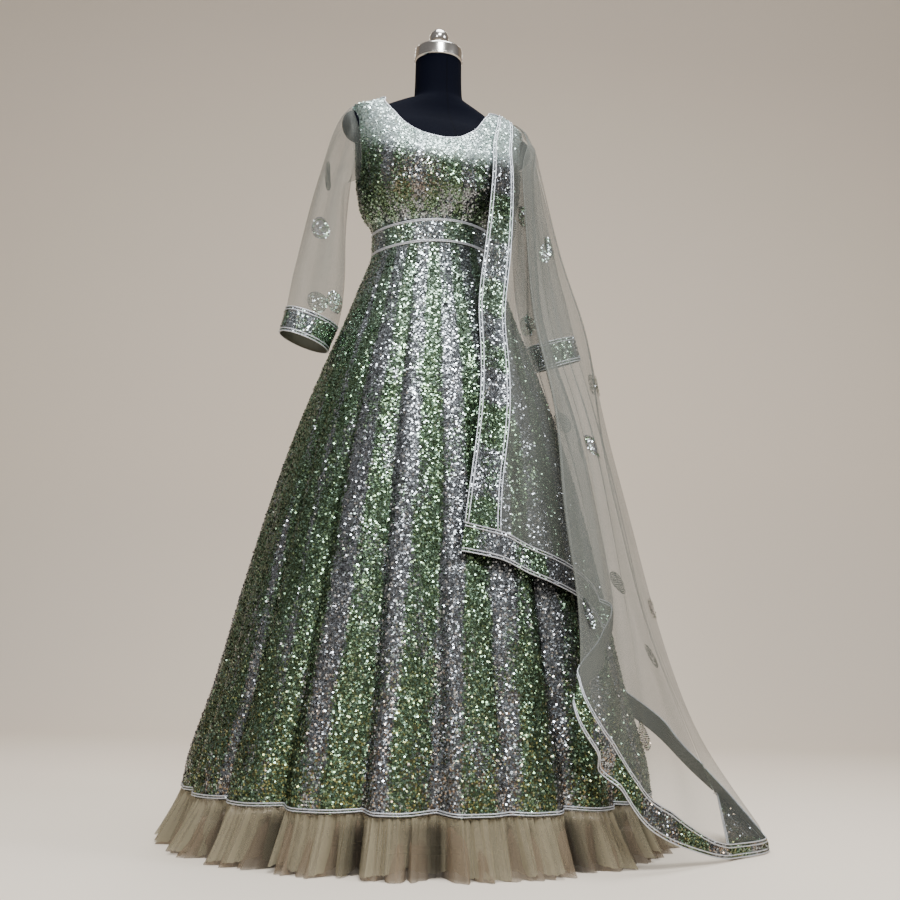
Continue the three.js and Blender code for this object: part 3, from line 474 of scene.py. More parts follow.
def sequins(name, beds, size, tilt, chance):
    """One mesh of flat sequins, with four sides each to keep it light. Each bed is points, normals
    and a stripe value for each sequin."""
    centre, normal, stripe = (np.concatenate(parts) for parts in zip(*beds))
    count, sides = len(centre), SEQUIN_SIDES
    lean = np.abs(chance.normal(0, tilt, count)) + 0.04
    way = chance.uniform(0, 2 * np.pi, count)
    side = np.cross(normal, (0.31, 0.17, 0.93))
    side /= np.linalg.norm(side, axis=1, keepdims=True)
    fore = np.cross(normal, side)
    leaning = side * np.cos(way)[:, None] + fore * np.sin(way)[:, None]
    facing = normal * np.cos(lean)[:, None] + leaning * np.sin(lean)[:, None]
    u = np.cross(facing, leaning)
    u /= np.linalg.norm(u, axis=1, keepdims=True)
    v = np.cross(facing, u)
    radius = size / 2 * chance.uniform(0.94, 1.14, count)
    lift = 0.0003 + radius * np.sin(lean)
    a = 2 * np.pi * np.arange(sides) / sides
    turn = chance.uniform(0, 1, count)[:, None] * 2 * np.pi / sides + a[None]
    points = (centre + normal * lift[:, None])[:, None] + radius[:, None, None] * (
        u[:, None] * np.cos(turn)[..., None] + v[:, None] * np.sin(turn)[..., None])
    outward = np.cross(points[:, 1] - points[:, 0], points[:, 2] - points[:, 1])
    if (outward * normal).sum() < 0:
        points = points[:, ::-1]
        a = a[::-1]
    faces = np.arange(count * sides).reshape(-1, sides)
    cells = math.ceil(math.sqrt(count))
    cell = np.stack([np.arange(count) % cells, np.arange(count) // cells], 1)
    spread = 0.5 + 0.36 * np.stack([np.cos(a), np.sin(a)], 1)
    uv = (cell[:, None] + spread[None]) / cells
    marks = {"stripe": stripe, "luck": chance.uniform(0, 1, count), "shade": chance.uniform(0, 1, count)}
    marks = {mark: np.repeat(values, sides) for mark, values in marks.items()}
    return new_object(name, points.reshape(-1, 3), faces, marks, ("OFBake", uv), smooth=False)


def bed_on(grid, stripe, pitch, chance, closed, inset):
    """Where sequins lie on a grid: their points, normals and stripe values."""
    if closed:
        grid, stripe = closed_up(grid), closed_up(stripe)
    row, column = scatter(grid, pitch, chance, inset)
    way = at_place(normals_of(grid), row, column)
    way /= np.linalg.norm(way, axis=1, keepdims=True)
    place = at_place(grid, row, column)
    clear = place[:, 2] < SEQUINS_END
    return place[clear], way[clear], at_place(stripe, row, column)[clear]


def butta(grid, place, size, out):
    """A round motif of sequins in rings, sewn on a grid at a share of its rows and columns."""
    row, column = place.down * (grid.shape[0] - 1), place.across * (grid.shape[1] - 1)
    here, below, beside = at_place(grid, row + np.array([0, 1.0, 0]), column + np.array([0, 0, 1.0]))
    per_row, per_column = np.linalg.norm(below - here), np.linalg.norm(beside - here)
    rows, columns, tone = [row], [column], [0.2]
    rings = max(int(place.radius / (size * 0.86)), 1)
    for ring in range(1, rings + 1):
        reach = place.radius * ring / rings
        count = int(2 * math.pi * reach / (size * 0.94))
        a = 2 * np.pi * (np.arange(count) + 0.5 * (ring % 2)) / count
        rows.extend(row + reach * np.sin(a) / per_row)
        columns.extend(column + reach * np.cos(a) / per_column)
        tone.extend([1.0 if ring == rings - 1 else 0.15] * count)
    rows, columns = np.array(rows), np.array(columns)
    way = at_place(normals_of(grid), rows, columns)
    way /= np.maximum(np.linalg.norm(way, axis=1, keepdims=True), 1e-9)
    return at_place(grid, rows, columns) + way * out, way, np.array(tone)


# ---- materials --------------------------------------------------------------
class Value:
    """A number in a material. Operators on it add Math nodes."""

    def __init__(self, paint, socket):
        self.paint, self.socket = paint, socket

    def math(self, operation, *others):
        node = self.paint.node("ShaderNodeMath", {"operation": operation}, dict(enumerate((self, *others))))
        return Value(self.paint, node.outputs[0])

    def reversed_math(self, operation, other):
        node = self.paint.node("ShaderNodeMath", {"operation": operation}, {0: other, 1: self})
        return Value(self.paint, node.outputs[0])

    def __add__(self, other):
        return self.math("ADD", other)

    def __radd__(self, other):
        return self.reversed_math("ADD", other)

    def __sub__(self, other):
        return self.math("SUBTRACT", other)

    def __rsub__(self, other):
        return self.reversed_math("SUBTRACT", other)

    def __mul__(self, other):
        return self.math("MULTIPLY", other)

    def __rmul__(self, other):
        return self.reversed_math("MULTIPLY", other)

    def __pow__(self, other):
        return self.math("POWER", other)

    def between(self, low, high):
        """0 below low, 1 above high, and smooth from one to the other."""
        node = self.paint.node("ShaderNodeMapRange", {"interpolation_type": "SMOOTHSTEP"},
                               {"Value": self, "From Min": low, "From Max": high})
        return Value(self.paint, node.outputs["Result"])


class Paint:
    """A material's nodes."""

    def __init__(self, name):
        self.material = bpy.data.materials.new(name)
        self.material.use_nodes = True
        self.tree = self.material.node_tree
        self.tree.nodes.clear()
        self.place = self.node("ShaderNodeTexCoord").outputs["Object"]

    def node(self, kind, settings=None, values=None):
        made = self.tree.nodes.new(kind)
        for name, setting in (settings or {}).items():
            setattr(made, name, setting)
        for name, value in (values or {}).items():
            socket = made.inputs[name]
            if isinstance(value, Value):
                value = value.socket
            if isinstance(value, bpy.types.NodeSocket):
                self.tree.links.new(value, socket)
            else:
                socket.default_value = value
        return made

    def mark(self, name):
        made = self.node("ShaderNodeAttribute", {"attribute_name": name})
        return Value(self, made.outputs["Fac"])

    def part(self, axis):
        parts = self.node("ShaderNodeSeparateXYZ", None, {0: self.place})
        return Value(self, parts.outputs[axis])

    def height(self):
        return self.part("Z")

    def noise(self, scale, detail=2.0, vector=None):
        made = self.node("ShaderNodeTexNoise", None,
                         {"Vector": vector or self.place, "Scale": scale, "Detail": detail})
        return Value(self, made.outputs["Fac"])

    def mixed(self, share, first, second):
        """A colour between two colours."""
        values = {"Factor": share, 6: first, 7: second}
        return self.node("ShaderNodeMix", {"data_type": "RGBA"}, values).outputs[2]

    def bump(self, height, strength, distance):
        values = {"Height": height, "Strength": strength, "Distance": distance}
        return self.node("ShaderNodeBump", None, values).outputs["Normal"]

    def finish(self, values):
        """Ends the material in one Principled surface."""
        surface = self.node("ShaderNodeBsdfPrincipled", None, values)
        self.node("ShaderNodeOutputMaterial", None, {"Surface": surface.outputs[0]})
        return self.material


def opaque(colour, strength=1.0):
    return (*[c * strength for c in colour], 1.0)


def stripe_tone(paint, luck, spread):
    """How green a place is: the woven-in stripe with ragged edges, where single sequins stray."""
    streak = paint.node("ShaderNodeMapping", None, {"Vector": paint.place, "Scale": (26.0, 26.0, 5.0)})
    patch = paint.noise(1.0, 3.0, streak.outputs[0]) - 0.5
    cloud = paint.noise(5.0, 2.0) - 0.5
    return (paint.mark("stripe") + patch * 2.6 + cloud * 1.1 + (luck - 0.5) * spread).between(0.22, 0.78)


def sheen(paint):
    """Share of the painted sheen: 1 round the neckline and on the shoulders, and 0 below them."""
    x, z = paint.part("X"), paint.height() - NECK_MIDDLE
    return 1 - (x * x * 0.30 + z * z).between(0.0066, 0.0150)


def sequin_material(colours):
    """Metallic sequins: silver or green by stripe. Painted light and shade is mixed into their colour:
    painted warm glints on a share of them, more of them low on the skirt; a painted reflection of the warm
    floor below the bust; painted shade low on the skirt and on the midriff; and a painted highlight round
    the neckline, on the shoulders and on the upper skirt and belt.
    """
    paint = Paint("Sequins")
    luck, shade = paint.mark("luck"), paint.mark("shade")
    bright = luck ** 2.5
    green = stripe_tone(paint, shade, 0.95)
    silver_tone = paint.mixed(bright, opaque(colours.silver, 0.6), opaque(colours.silver, 1.2))
    green_tone = paint.mixed(bright, opaque(colours.green, 0.85), opaque(colours.mint, 0.9))
    tone = paint.mixed(green, silver_tone, green_tone)
    low = 1 - paint.height().between(0.10, 0.5)
    # Painted highlight: a pale sheen mixed in round the neckline and on the shoulders, where the sequins are
    # also less metallic.
    upper = sheen(paint)
    high = paint.height()
    # Painted shade: the colour darkens towards the bottom of the skirt and on the midriff under the bust.
    painted_midriff_shade = high.between(1.18, 1.22) * (1 - high.between(1.27, 1.34))
    shaded = (1 - high.between(0.55, 1.10)) * 0.30 + painted_midriff_shade * 0.42
    # Painted light: a brighter band on the upper skirt and the belt.
    lit = high.between(0.80, 1.12) * (1 - high.between(1.185, 1.20)) * 0.20
    # Painted reflection of the warm floor, on a patch below the bust on the wearer's right.
    beside, under = paint.part("X") + 0.09, high - 1.255
    painted_floor_reflection = (1 - (beside * beside + under * under * 1.6).between(0.0004, 0.0048)) * 0.55
    painted_floor_reflection = painted_floor_reflection * (luck * 3.7).math("FRACT").between(0.45, 0.55)
    # Painted warm glints on a share of the sequins, more of them low on the skirt, none where the sheen is
    # painted.
    painted_glint_share = (low * 0.75 + 0.1) * (luck * 5.3).math("FRACT").between(0.66, 0.72) * (1 - upper)
    painted_glint_tone = paint.mixed(green, opaque(colours.painted_warm_glint), opaque(colours.painted_olive_glint))
    layers = ((painted_glint_share, painted_glint_tone), (painted_floor_reflection, opaque(colours.painted_warm_glint)), (shaded, opaque(colours.ground)),
              (lit, opaque(colours.top)), (upper * 0.75, opaque(colours.top)))
    for share, colour in layers:
        tone = paint.mixed(share, tone, colour)
    return paint.finish({"Base Color": tone, "Metallic": 0.94 - upper * 0.4,
                         "Roughness": shade * 0.14 + 0.12})


def ground_material(colours):
    """The dark net under the sequins, with small sequins lying flat on it, and a painted sheen round the
    neckline and on the shoulders.
    """
    paint = Paint("Sequin ground")
    cell = paint.node("ShaderNodeTexVoronoi", None, {"Vector": paint.place, "Scale": 330.0})
    rim = Value(paint, cell.outputs["Distance"])
    parts = paint.node("ShaderNodeSeparateColor", None, {0: cell.outputs["Color"]})
    luck = Value(paint, parts.outputs[0])
    green = stripe_tone(paint, luck, 0.5)
    tone = paint.mixed(green, opaque(colours.silver, 0.22), opaque(colours.green, 0.4))
    tone = paint.mixed((1 - luck) * 0.6, tone, opaque(colours.ground))
    # Painted highlight: the pale sheen round the neckline and on the shoulders.
    tone = paint.mixed(sheen(paint) * 0.65, tone, opaque(colours.top, 0.75))
    facing = paint.node("ShaderNodeNewGeometry").outputs["Normal"]
    lean = cell.outputs["Color"]
    for operation, second in (("SUBTRACT", {1: (0.5, 0.5, 0.5)}), ("SCALE", {"Scale": 0.8}),
                              ("ADD", {1: facing}), ("NORMALIZE", {})):
        lean = paint.node("ShaderNodeVectorMath", {"operation": operation}, {0: lean, **second}).outputs[0]
    return paint.finish({"Base Color": tone, "Metallic": 0.85, "Roughness": rim * 0.3 + 0.25,
                         "Normal": lean})


def lining_material(colours):
    """The matt wrong side of the sequin cloth."""
    paint = Paint("Cloth wrong side")
    weave = paint.noise(900.0)
    tone = paint.mixed(weave, opaque(colours.lining, 0.8), opaque(colours.lining, 1.15))
    return paint.finish({"Base Color": tone, "Roughness": 0.85, "Normal": paint.bump(weave, 0.3, 0.0004)})


def net_material(name, colour, open_share):
    """Soft sheer net. It is denser where the cloth is folded on itself, and its colour is darkened by
    painted shade where its deep mark is set.
    """
    paint = Paint(name)
    dense = paint.mark("dense")
    thread = paint.noise(420.0, 1.0)
    cloudy = paint.noise(14.0, 2.0)
    cover = open_share + dense * (1 - open_share) * 0.9 + (thread - 0.5) * 0.14 + (cloudy - 0.5) * 0.08
    # Painted shade: the deep mark darkens the net almost to black, in the frill's valleys.
    deep = paint.mark("deep")
    tone = paint.mixed(cloudy, opaque(colour, 0.92), opaque(colour, 1.06))
    tone = paint.mixed(deep * 0.85, tone, opaque(colour, 0.06))
    return paint.finish({"Base Color": tone, "Roughness": 0.7, "Alpha": cover,
                         "Specular IOR Level": 0.15,
                         "Normal": paint.bump(thread, 0.25, 0.0004)})


def piping_material(colours):
    """Silver cord with a fine twist."""
    paint = Paint("Silver piping")
    twist = paint.noise(700.0, 1.0)
    tone = paint.mixed(twist, opaque(colours.piping, 0.62), opaque(colours.piping))
    return paint.finish({"Base Color": tone, "Metallic": 0.55, "Roughness": twist * 0.2 + 0.3,
                         "Normal": paint.bump(twist, 0.7, 0.0006)})


def jersey_material(colours):
    """Fine black stretch jersey with a seam down its middle."""
    paint = Paint("Black jersey")
    knit = paint.node("ShaderNodeTexWave", {"wave_type": "BANDS", "bands_direction": "Z"},
                      {"Vector": paint.place, "Scale": 900.0, "Distortion": 1.5, "Detail": 1.0})
    knit = Value(paint, knit.outputs["Fac"])
    soft = paint.noise(12.0)
    seam = 1 - paint.part("X").math("ABSOLUTE").between(0.0006, 0.0018)
    tone = paint.mixed(soft, opaque(colours.jersey, 0.8), opaque(colours.jersey, 1.3))
    tone = paint.mixed(seam * 0.6, tone, opaque(colours.jersey, 0.3))
    relief = knit * 0.3 - seam
    return paint.finish({"Base Color": tone, "Roughness": 0.8, "Specular IOR Level": 0.04,
                         "Normal": paint.bump(relief, 0.35, 0.0008)})


def steel_material(colours):
    """Turned and polished steel, with faint rings and fingermarks."""
    paint = Paint("Polished steel")
    rings = paint.node("ShaderNodeTexWave", {"wave_type": "BANDS", "bands_direction": "Z"},
                       {"Vector": paint.place, "Scale": 240.0, "Distortion": 0.6})
    smear = paint.noise(60.0, 4.0)
    rough = smear * 0.14 + Value(paint, rings.outputs["Fac"]) * 0.06 + 0.1
    tone = paint.mixed(smear, opaque(colours.steel, 0.9), opaque(colours.steel))
    return paint.finish({"Base Color": tone, "Metallic": 1.0, "Roughness": rough})


def painted_material(colours):
    """Satin black paint, with light scuffs."""
    paint = Paint("Satin black paint")
    scuff = paint.noise(40.0, 5.0).between(0.5, 0.8)
    tone = paint.mixed(scuff, opaque(colours.paint), opaque(colours.paint, 2.2))
    return paint.finish({"Base Color": tone, "Roughness": scuff * 0.25 + 0.35})


def floor_material(colours):
    """Pale plain paper."""
    paint = Paint("Pale floor")
    grain = paint.noise(3.0, 3.0)
    tone = paint.mixed(grain, opaque(colours.floor, 0.985), opaque(colours.floor))
    return paint.finish({"Base Color": tone, "Roughness": 0.8})


MATERIALS = {}


def material(name, build, *settings):
    """The named material, made once."""
    if name not in MATERIALS:
        MATERIALS[name] = build(*settings)
    return MATERIALS[name]


def finished(piece, materials, nodes=()):
    """Gives a piece its materials and its body, and hides the imported nodes it stands for."""
    for one in materials:
        piece.data.materials.append(one)
    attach(piece, "root")
    if nodes:
        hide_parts(*nodes)
    return piece


# ---- settings a user would change -------------------------------------------
def colour_setting(name, description, default):
    return bpy.props.FloatVectorProperty(name=name, description=description, subtype="COLOR", size=3,
                                         min=0.0, max=1.0, default=default)


class GownSizes(bpy.types.PropertyGroup):
    """Sizes of the trimming"""
    sequin: bpy.props.FloatProperty(
        name="Sequin", description="Width of one sequin", default=0.0041, min=0.003, unit="LENGTH")
    trim_sequin: bpy.props.FloatProperty(
        name="Trim sequin", description="Width of a sequin on the border and belt", default=0.0036,
        min=0.003, unit="LENGTH")
    tilt: bpy.props.FloatProperty(
        name="Tilt", description="How unevenly the sequins lie", default=0.3, min=0.0, subtype="ANGLE")
    piping: bpy.props.FloatProperty(
        name="Piping", description="Radius of one silver cord", default=0.0012, min=0.0005, unit="LENGTH")
    piping_gap: bpy.props.FloatProperty(
        name="Piping spacing", description="Between the middles of a pair of cords", default=0.0054,
        min=0.002, unit="LENGTH")
    seed: bpy.props.IntProperty(name="Seed", description="Changes how the sequins fall", default=7)


class GownColours(bpy.types.PropertyGroup):
    """Colours of the cloth and the stand"""
    silver: colour_setting("Silver", "Silver sequins", (0.57, 0.60, 0.64))
    green: colour_setting("Green", "Green sequins", (0.16, 0.25, 0.125))
    mint: colour_setting("Mint", "Bright green sequins", (0.50, 0.74, 0.55))
    # Colour of the painted highlight: the sheen round the neckline and shoulders, and the light on the upper
    # skirt and belt.
    top: colour_setting("Top", "Pale sheen of the shoulders and neckline", (0.74, 0.88, 0.86))
    # Colours of the painted warm glints low on the skirt; the first also paints the floor's reflection below
    # the bust.
    painted_warm_glint: colour_setting("Gold", "Gold glints among the silver near the hem", (0.40, 0.27, 0.17))
    painted_olive_glint: colour_setting("Olive", "Olive glints among the green near the hem", (0.30, 0.28, 0.09))
    # Also the colour of the painted shade low on the skirt and under the bust.
    ground: colour_setting("Ground", "Net under the sequins", (0.02, 0.022, 0.02))
    lining: colour_setting("Lining", "Wrong side of the sequin cloth", (0.060, 0.058, 0.040))
    net: colour_setting("Net", "Net of the scarf and sleeves", (0.172, 0.177, 0.158))
    frill: colour_setting("Frill", "Net of the frill", (0.33, 0.285, 0.190))
    frill_edge: colour_setting("Frill edge", "Under layer of the frill", (0.24, 0.18, 0.12))
    piping: colour_setting("Piping", "Silver piping", (0.74, 0.75, 0.80))
    jersey: colour_setting("Jersey", "Cover of the form", (0.0012, 0.0016, 0.005))
    steel: colour_setting("Steel", "Neck cap", (0.62, 0.58, 0.54))
    paint: colour_setting("Paint", "Stand base", (0.012, 0.012, 0.014))
    floor: colour_setting("Floor", "Floor and backdrop", (0.84, 0.73, 0.61))


def sizes():
    return bpy.context.scene.gown_sizes


def colours():
    return bpy.context.scene.gown_colours


def draws(piece):
    """The seeded random numbers of one piece."""
    return np.random.default_rng(sizes().seed * 1000 + sum(map(ord, piece)))


def sequin_cloth(name, grid, stripe, nodes, closed=False,
                 small=False, inset=0.5):
    """Sequin cloth through a grid: the ground with its wrong side, and the sequins sewn on it."""
    look = colours()
    ground = cloth_sheet(name + "_cloth", grid, closed, {"stripe": stripe})
    finished(ground, [material("ground", ground_material, look),
                                      material("lining", lining_material, look)], nodes)
    thickened(ground, TRIM if small else SEQUIN_CLOTH * 0.8)
    size = sizes().trim_sequin if small else sizes().sequin
    chance = draws(name)
    bed = bed_on(grid, stripe, size * SEQUIN_PITCH, chance, closed, inset)
    dots = sequins(name + "_sequins", [bed], size, sizes().tilt, chance)
    finished(dots, [material("sequins", sequin_material, look)])


def motifs(name, grid, places, out, chance):
    """The round motifs on a net, as one piece."""
    size = sizes().trim_sequin
    beds = [butta(grid, place, size, out) for place in places]
    dots = sequins(name + "_motifs", beds, size, sizes().tilt * 0.6, chance)
    return finished(dots, [material("sequins", sequin_material, colours())])


def piping(name, lines, closed, nodes=(), wide=1.0):
    made = cords(name + "_piping", lines, sizes().piping * wide, closed)
    return finished(made, [material("piping", piping_material, colours())], nodes)


def paired(line, across, normal, close):
    """Two lines side by side, for a double cord, lying on the cloth."""
    half = sizes().piping_gap * close / 2
    out = normal * (sizes().piping * 0.8)
    return [line + across * half + out, line - across * half + out]


def edge_pair(grid, edge, inset, closed=False, close=1.0):
    """The double cord along one edge of a grid: "top", "foot", "first" or "last"."""
    normal = normals_of(grid, closed)
    if edge in ("top", "foot"):
        row, next_row = (0, 1) if edge == "top" else (-1, -2)
        line, way, up = grid[row], normal[row], grid[next_row] - grid[row]
    else:
        column, next_column = (0, 1) if edge == "first" else (-1, -2)
        line, way, up = grid[:, column], normal[:, column], grid[:, next_column] - grid[:, column]
    up = up / np.maximum(np.linalg.norm(up, axis=1, keepdims=True), 1e-9)
    return paired(line + up * inset, up, way, close)


# ---- stripes of the cloth ---------------------------------------------------
def stripe_value(turn, z, waist=1.12, hem=0.15):
    """How green the cloth is at a turn and height: 1 in a green stripe, 0 in a silver one."""
    t = np.clip((waist - z) / (waist - hem), 0, 1)
    best = np.zeros(np.broadcast(turn, z).shape)
    for s in STRIPES:
        drift = (s.hem - s.waist + 180) % 360 - 180
        middle = s.waist + drift * t ** 0.8
        away = np.abs((turn - middle + 540) % 360 - 180)
        best = np.maximum(best, 1 - smooth_step(s.half * 0.75, s.half * 1.35, away))
    return best


def band_value(along, start, period=0.135):
    """Green and silver stretches of a strip cut across the stripes."""
    wave = np.sin(2 * np.pi * (along + start) / period + 0.7 * np.sin(along * 11))
    return smooth_step(-0.35, 0.35, wave)


# ---- gown: bodice and waistband ---------------------------------------------
def band_top(turn):
    return BAND_TOP - BAND_DIP * np.sin(np.radians(turn)) ** 2


def neck_height(turn, back):
    """Height of the neck edge. The front scoop is deeper, and lowest a little to the right."""
    points = NECK_BACK if back else NECK_FRONT
    turn = np.abs(turn) if back else turn
    height = curve([n.turn for n in points], [n.height for n in points], turn)
    return np.minimum(height, NECK_END)


def panel_edge(back, side):
    """Upper edge of half a panel, from the centre line to the side seam, as turns and heights."""
    neck = 90 * np.linspace(0, 1, 40) ** 1.25
    shoulder = np.linspace(0, 1, 8)[1:-1]
    tip = ARMHOLE_MIDDLE + ARMHOLE_HALF
    arc = np.linspace(0, np.pi, 40)
    turns = np.concatenate([neck, np.full(len(shoulder), 90.0), 90 - ARMHOLE_TURN * np.sin(arc)])
    end = neck_height(90.0, back)
    heights = np.concatenate([neck_height(side * neck, back), end + (tip - end) * shoulder,
                              ARMHOLE_MIDDLE + ARMHOLE_HALF * np.cos(arc)])
    return turns, heights


def half_panel(back, side, half, rows, rounds):
    """Half a panel from the band up to the neck, shoulder and armhole, its threads evenly relaxed."""
    turns, heights = panel_edge(back, side)
    place = ring_point(BODICE_RINGS, turns, heights)
    run = length_along(place)
    steps = np.linspace(0, run[-1], half + 1)
    top = np.stack([np.interp(steps, run, turns), np.interp(steps, run, heights)], 1)
    foot = 90 * (np.arange(half + 1) / half) ** 0.92
    bottom = np.stack([foot, band_top(foot) + 0.0012], 1)
    share = 1 - np.arange(rows + 1) / rows
    grid = np.empty((rows + 1, half + 1, 2))
    grid[..., 0] = bottom[None, :, 0] + (top - bottom)[None, :, 0] * (share ** 4)[:, None]
    grid[..., 1] = bottom[None, :, 1] + (top - bottom)[None, :, 1] * share[:, None]
    for _ in range(rounds):
        grid[1:-1, 1:-1] = (grid[:-2, 1:-1] + grid[2:, 1:-1] + grid[1:-1, :-2] + grid[1:-1, 2:]) / 4
    grid[..., 0] = np.minimum(grid[..., 0], SEAM_TURN)
    return grid


def bodice_grid(back, half=64, rows=44, rounds=500):
    """A whole panel, with its soft creases above the waist."""
    right, left = (half_panel(back, side, half, rows, rounds) for side in (-1, 1))
    turn = np.concatenate([-right[:, :0:-1, 0], left[..., 0]], 1)
    height = np.concatenate([right[:, :0:-1, 1], left[..., 1]], 1)
    if back:
        turn = 180 + turn
    crease = 0.0011 * np.sin(turn * 0.19 + height * 46) * smooth_step(1.36, 1.24, height)
    crease = crease + 0.0009 * np.sin(turn * 0.33 - height * 61) * smooth_step(1.30, 1.21, height)
    return ring_point(BODICE_RINGS, turn, height, crease), turn, height


class GOWN_OT_bodice(bpy.types.Operator):
    """Model the two bodice panels and the binding round the neck"""
    bl_idname = "gown.bodice"
    bl_label = "Bodice"

    def execute(self, context):
        for name, back, area in (("bodice_front", False, 0.103), ("bodice_back", True, 0.107)):
            grid, turn, height = bodice_grid(back)
            stripe = 0.5 + 0.45 * (stripe_value(turn + 7 * np.sin(height * 21), height * 0 + 1.1) - 0.5)
            sequin_cloth(name, grid, stripe, [name],
                         inset=0.95)
        self.neck()
        return {"FINISHED"}

    def neck(self):
        share = np.linspace(-1, 1, 161)
        spread = 90 * np.abs(share) ** 1.25 * np.sign(share)
        dip = BINDING_DIP * smooth_step(65, 88, np.abs(spread))
        line = []
        for back in (False, True):
            turn = 180 + spread if back else spread
            line.append(ring_point(BODICE_RINGS, turn, neck_height(spread, back) - dip)[:-1])
        line = np.concatenate(line)
        inward = np.stack([-line[:, 0], -line[:, 1], np.full(len(line), 0.02)], 1)
        inward /= np.linalg.norm(inward, axis=1, keepdims=True)
        line = line + inward * BINDING_INSIDE + (0, 0, BINDING_ABOVE)
        piping("neck_binding", [line], True, ["neck_binding"], wide=1.35)


class GOWN_OT_waistband(bpy.types.Operator):
    """Model the waistband and the double piping on both its edges"""
    bl_idname = "gown.waistband"
    bl_label = "Waistband"

    def execute(self, context):
        whole = []
        for name, start in (("waistband_front", -90), ("waistband_back", 90)):
            turn = start + np.linspace(0.2, 179.8, 120)[None, :]
            share = np.linspace(0, 1, 10)[:, None]
            grid = ring_point(BODICE_RINGS, turn, WAIST, 0.0018) + np.zeros((10, 1, 1))
            grid[..., 2] = band_top(turn) - share * BAND_HEIGHT
            along = np.radians(turn) * 0.115 + share * 0
            sequin_cloth(name, grid, band_value(along, 0.02), [name], small=True)
            whole.append(grid)
        ring = np.concatenate(whole, 1)
        for name, edge in (("waist_cord_upper", "top"), ("waist_cord_lower", "foot")):
            piping(name, edge_pair(ring, edge, 0.003, close=BELT_CLOSE), True, [name])
        return {"FINISHED"}


# ---- gown: skirt and frill --------------------------------------------------
def crest(turn):
    """How far a turn is on the crest of a fold, from 0 to 1, and how far the cloth falls back there."""
    at = np.array([f.at for f in SKIRT_FOLDS])
    half = np.array([f.half for f in SKIRT_FOLDS])
    fall = np.array([f.fall for f in SKIRT_FOLDS])
    away = (turn[..., None] - at + 540) % 360 - 180
    steep = (away < 0) == (at < 0)
    half = half * np.where(steep, 0.62, 1.55)
    away = np.abs(away)
    height = np.where(away < half, np.cos(np.pi / 2 * np.minimum(away / half, 1)) ** 1.4, 0)
    joined = np.minimum((height ** 5).sum(-1) ** 0.2, 1)
    weight = 1 / (away + 3) ** 3
    return 1 - (1 - joined) ** 1.5, 0.9 * (weight * fall).sum(-1) / weight.sum(-1)


def skirt_top(turn):
    return band_top(turn) - BAND_HEIGHT - GAP


def hem_height(turn):
    return HEM - HEM_DIP * crest(turn)[0]


def skirt_point(turn, z, out=0.0):
    height, fall = crest(turn)
    down = np.clip((FOLDS_FROM - z) / (FOLDS_FROM - HEM), 0, 1)
    back = fall * (1 - height) * down ** 1.15
    small = 0.0022 * np.sin(turn * 0.41 + 2 * np.sin(turn * 0.07)) * np.sin(turn * 0.173 + z * 3)
    return ring_point(SKIRT_RINGS, turn, z, out - back + small * down ** 0.7)


class GOWN_OT_skirt(bpy.types.Operator):
    """Model the two skirt panels and the double piping round the hem"""
    bl_idname = "gown.skirt"
    bl_label = "Skirt"

    def execute(self, context):
        rows, columns = 62, 250
        for name, start, area in (("skirt_front", -90, 1.0), ("skirt_back", 90, 1.01)):
            turn = start + np.linspace(0.06, 179.94, columns)[None, :]
            share = (np.linspace(0, 1, rows) ** 1.1)[:, None]
            top, foot = skirt_top(turn), hem_height(turn)
            z = top + (foot - top) * share
            turn = turn + z * 0
            grid = skirt_point(turn, z)
            sequin_cloth(name, grid, stripe_value(turn, z), [name])
        turn = np.linspace(-90, 270, 961)[:-1]
        lines = [skirt_point(turn, hem_height(turn) + rise, SEWN_ON)
                 for rise in (0.0022, 0.0022 + sizes().piping_gap * 0.75)]
        piping("hem_cord", lines, True, ["hem_cord"])
        return {"FINISHED"}


def flutes(place, count, seed):
    """Wide rounded waves with sharp valleys, uneven in width: 1 on their backs and 0 in the valleys."""
    bend = 0.30 * np.sin(place * 0.37 + seed) + 0.22 * np.sin(place * 0.83 + 2.1 * seed)
    return np.abs(np.cos(np.pi * place / count + bend * np.pi)) ** 0.75


def gather_place(turn, start):
    """Which gather, counted from the seam, each turn is at. The gathers are unevenly spaced."""
    j = np.arange(GATHERS + 1)
    uneven = 0.22 * np.sin(j * 2.4) + 0.14 * np.sin(j * 5.1 + 1)
    uneven[[0, -1]] = 0
    return np.interp(turn, start + 0.08 + 179.84 * (j + uneven * 0.5) / GATHERS, j)


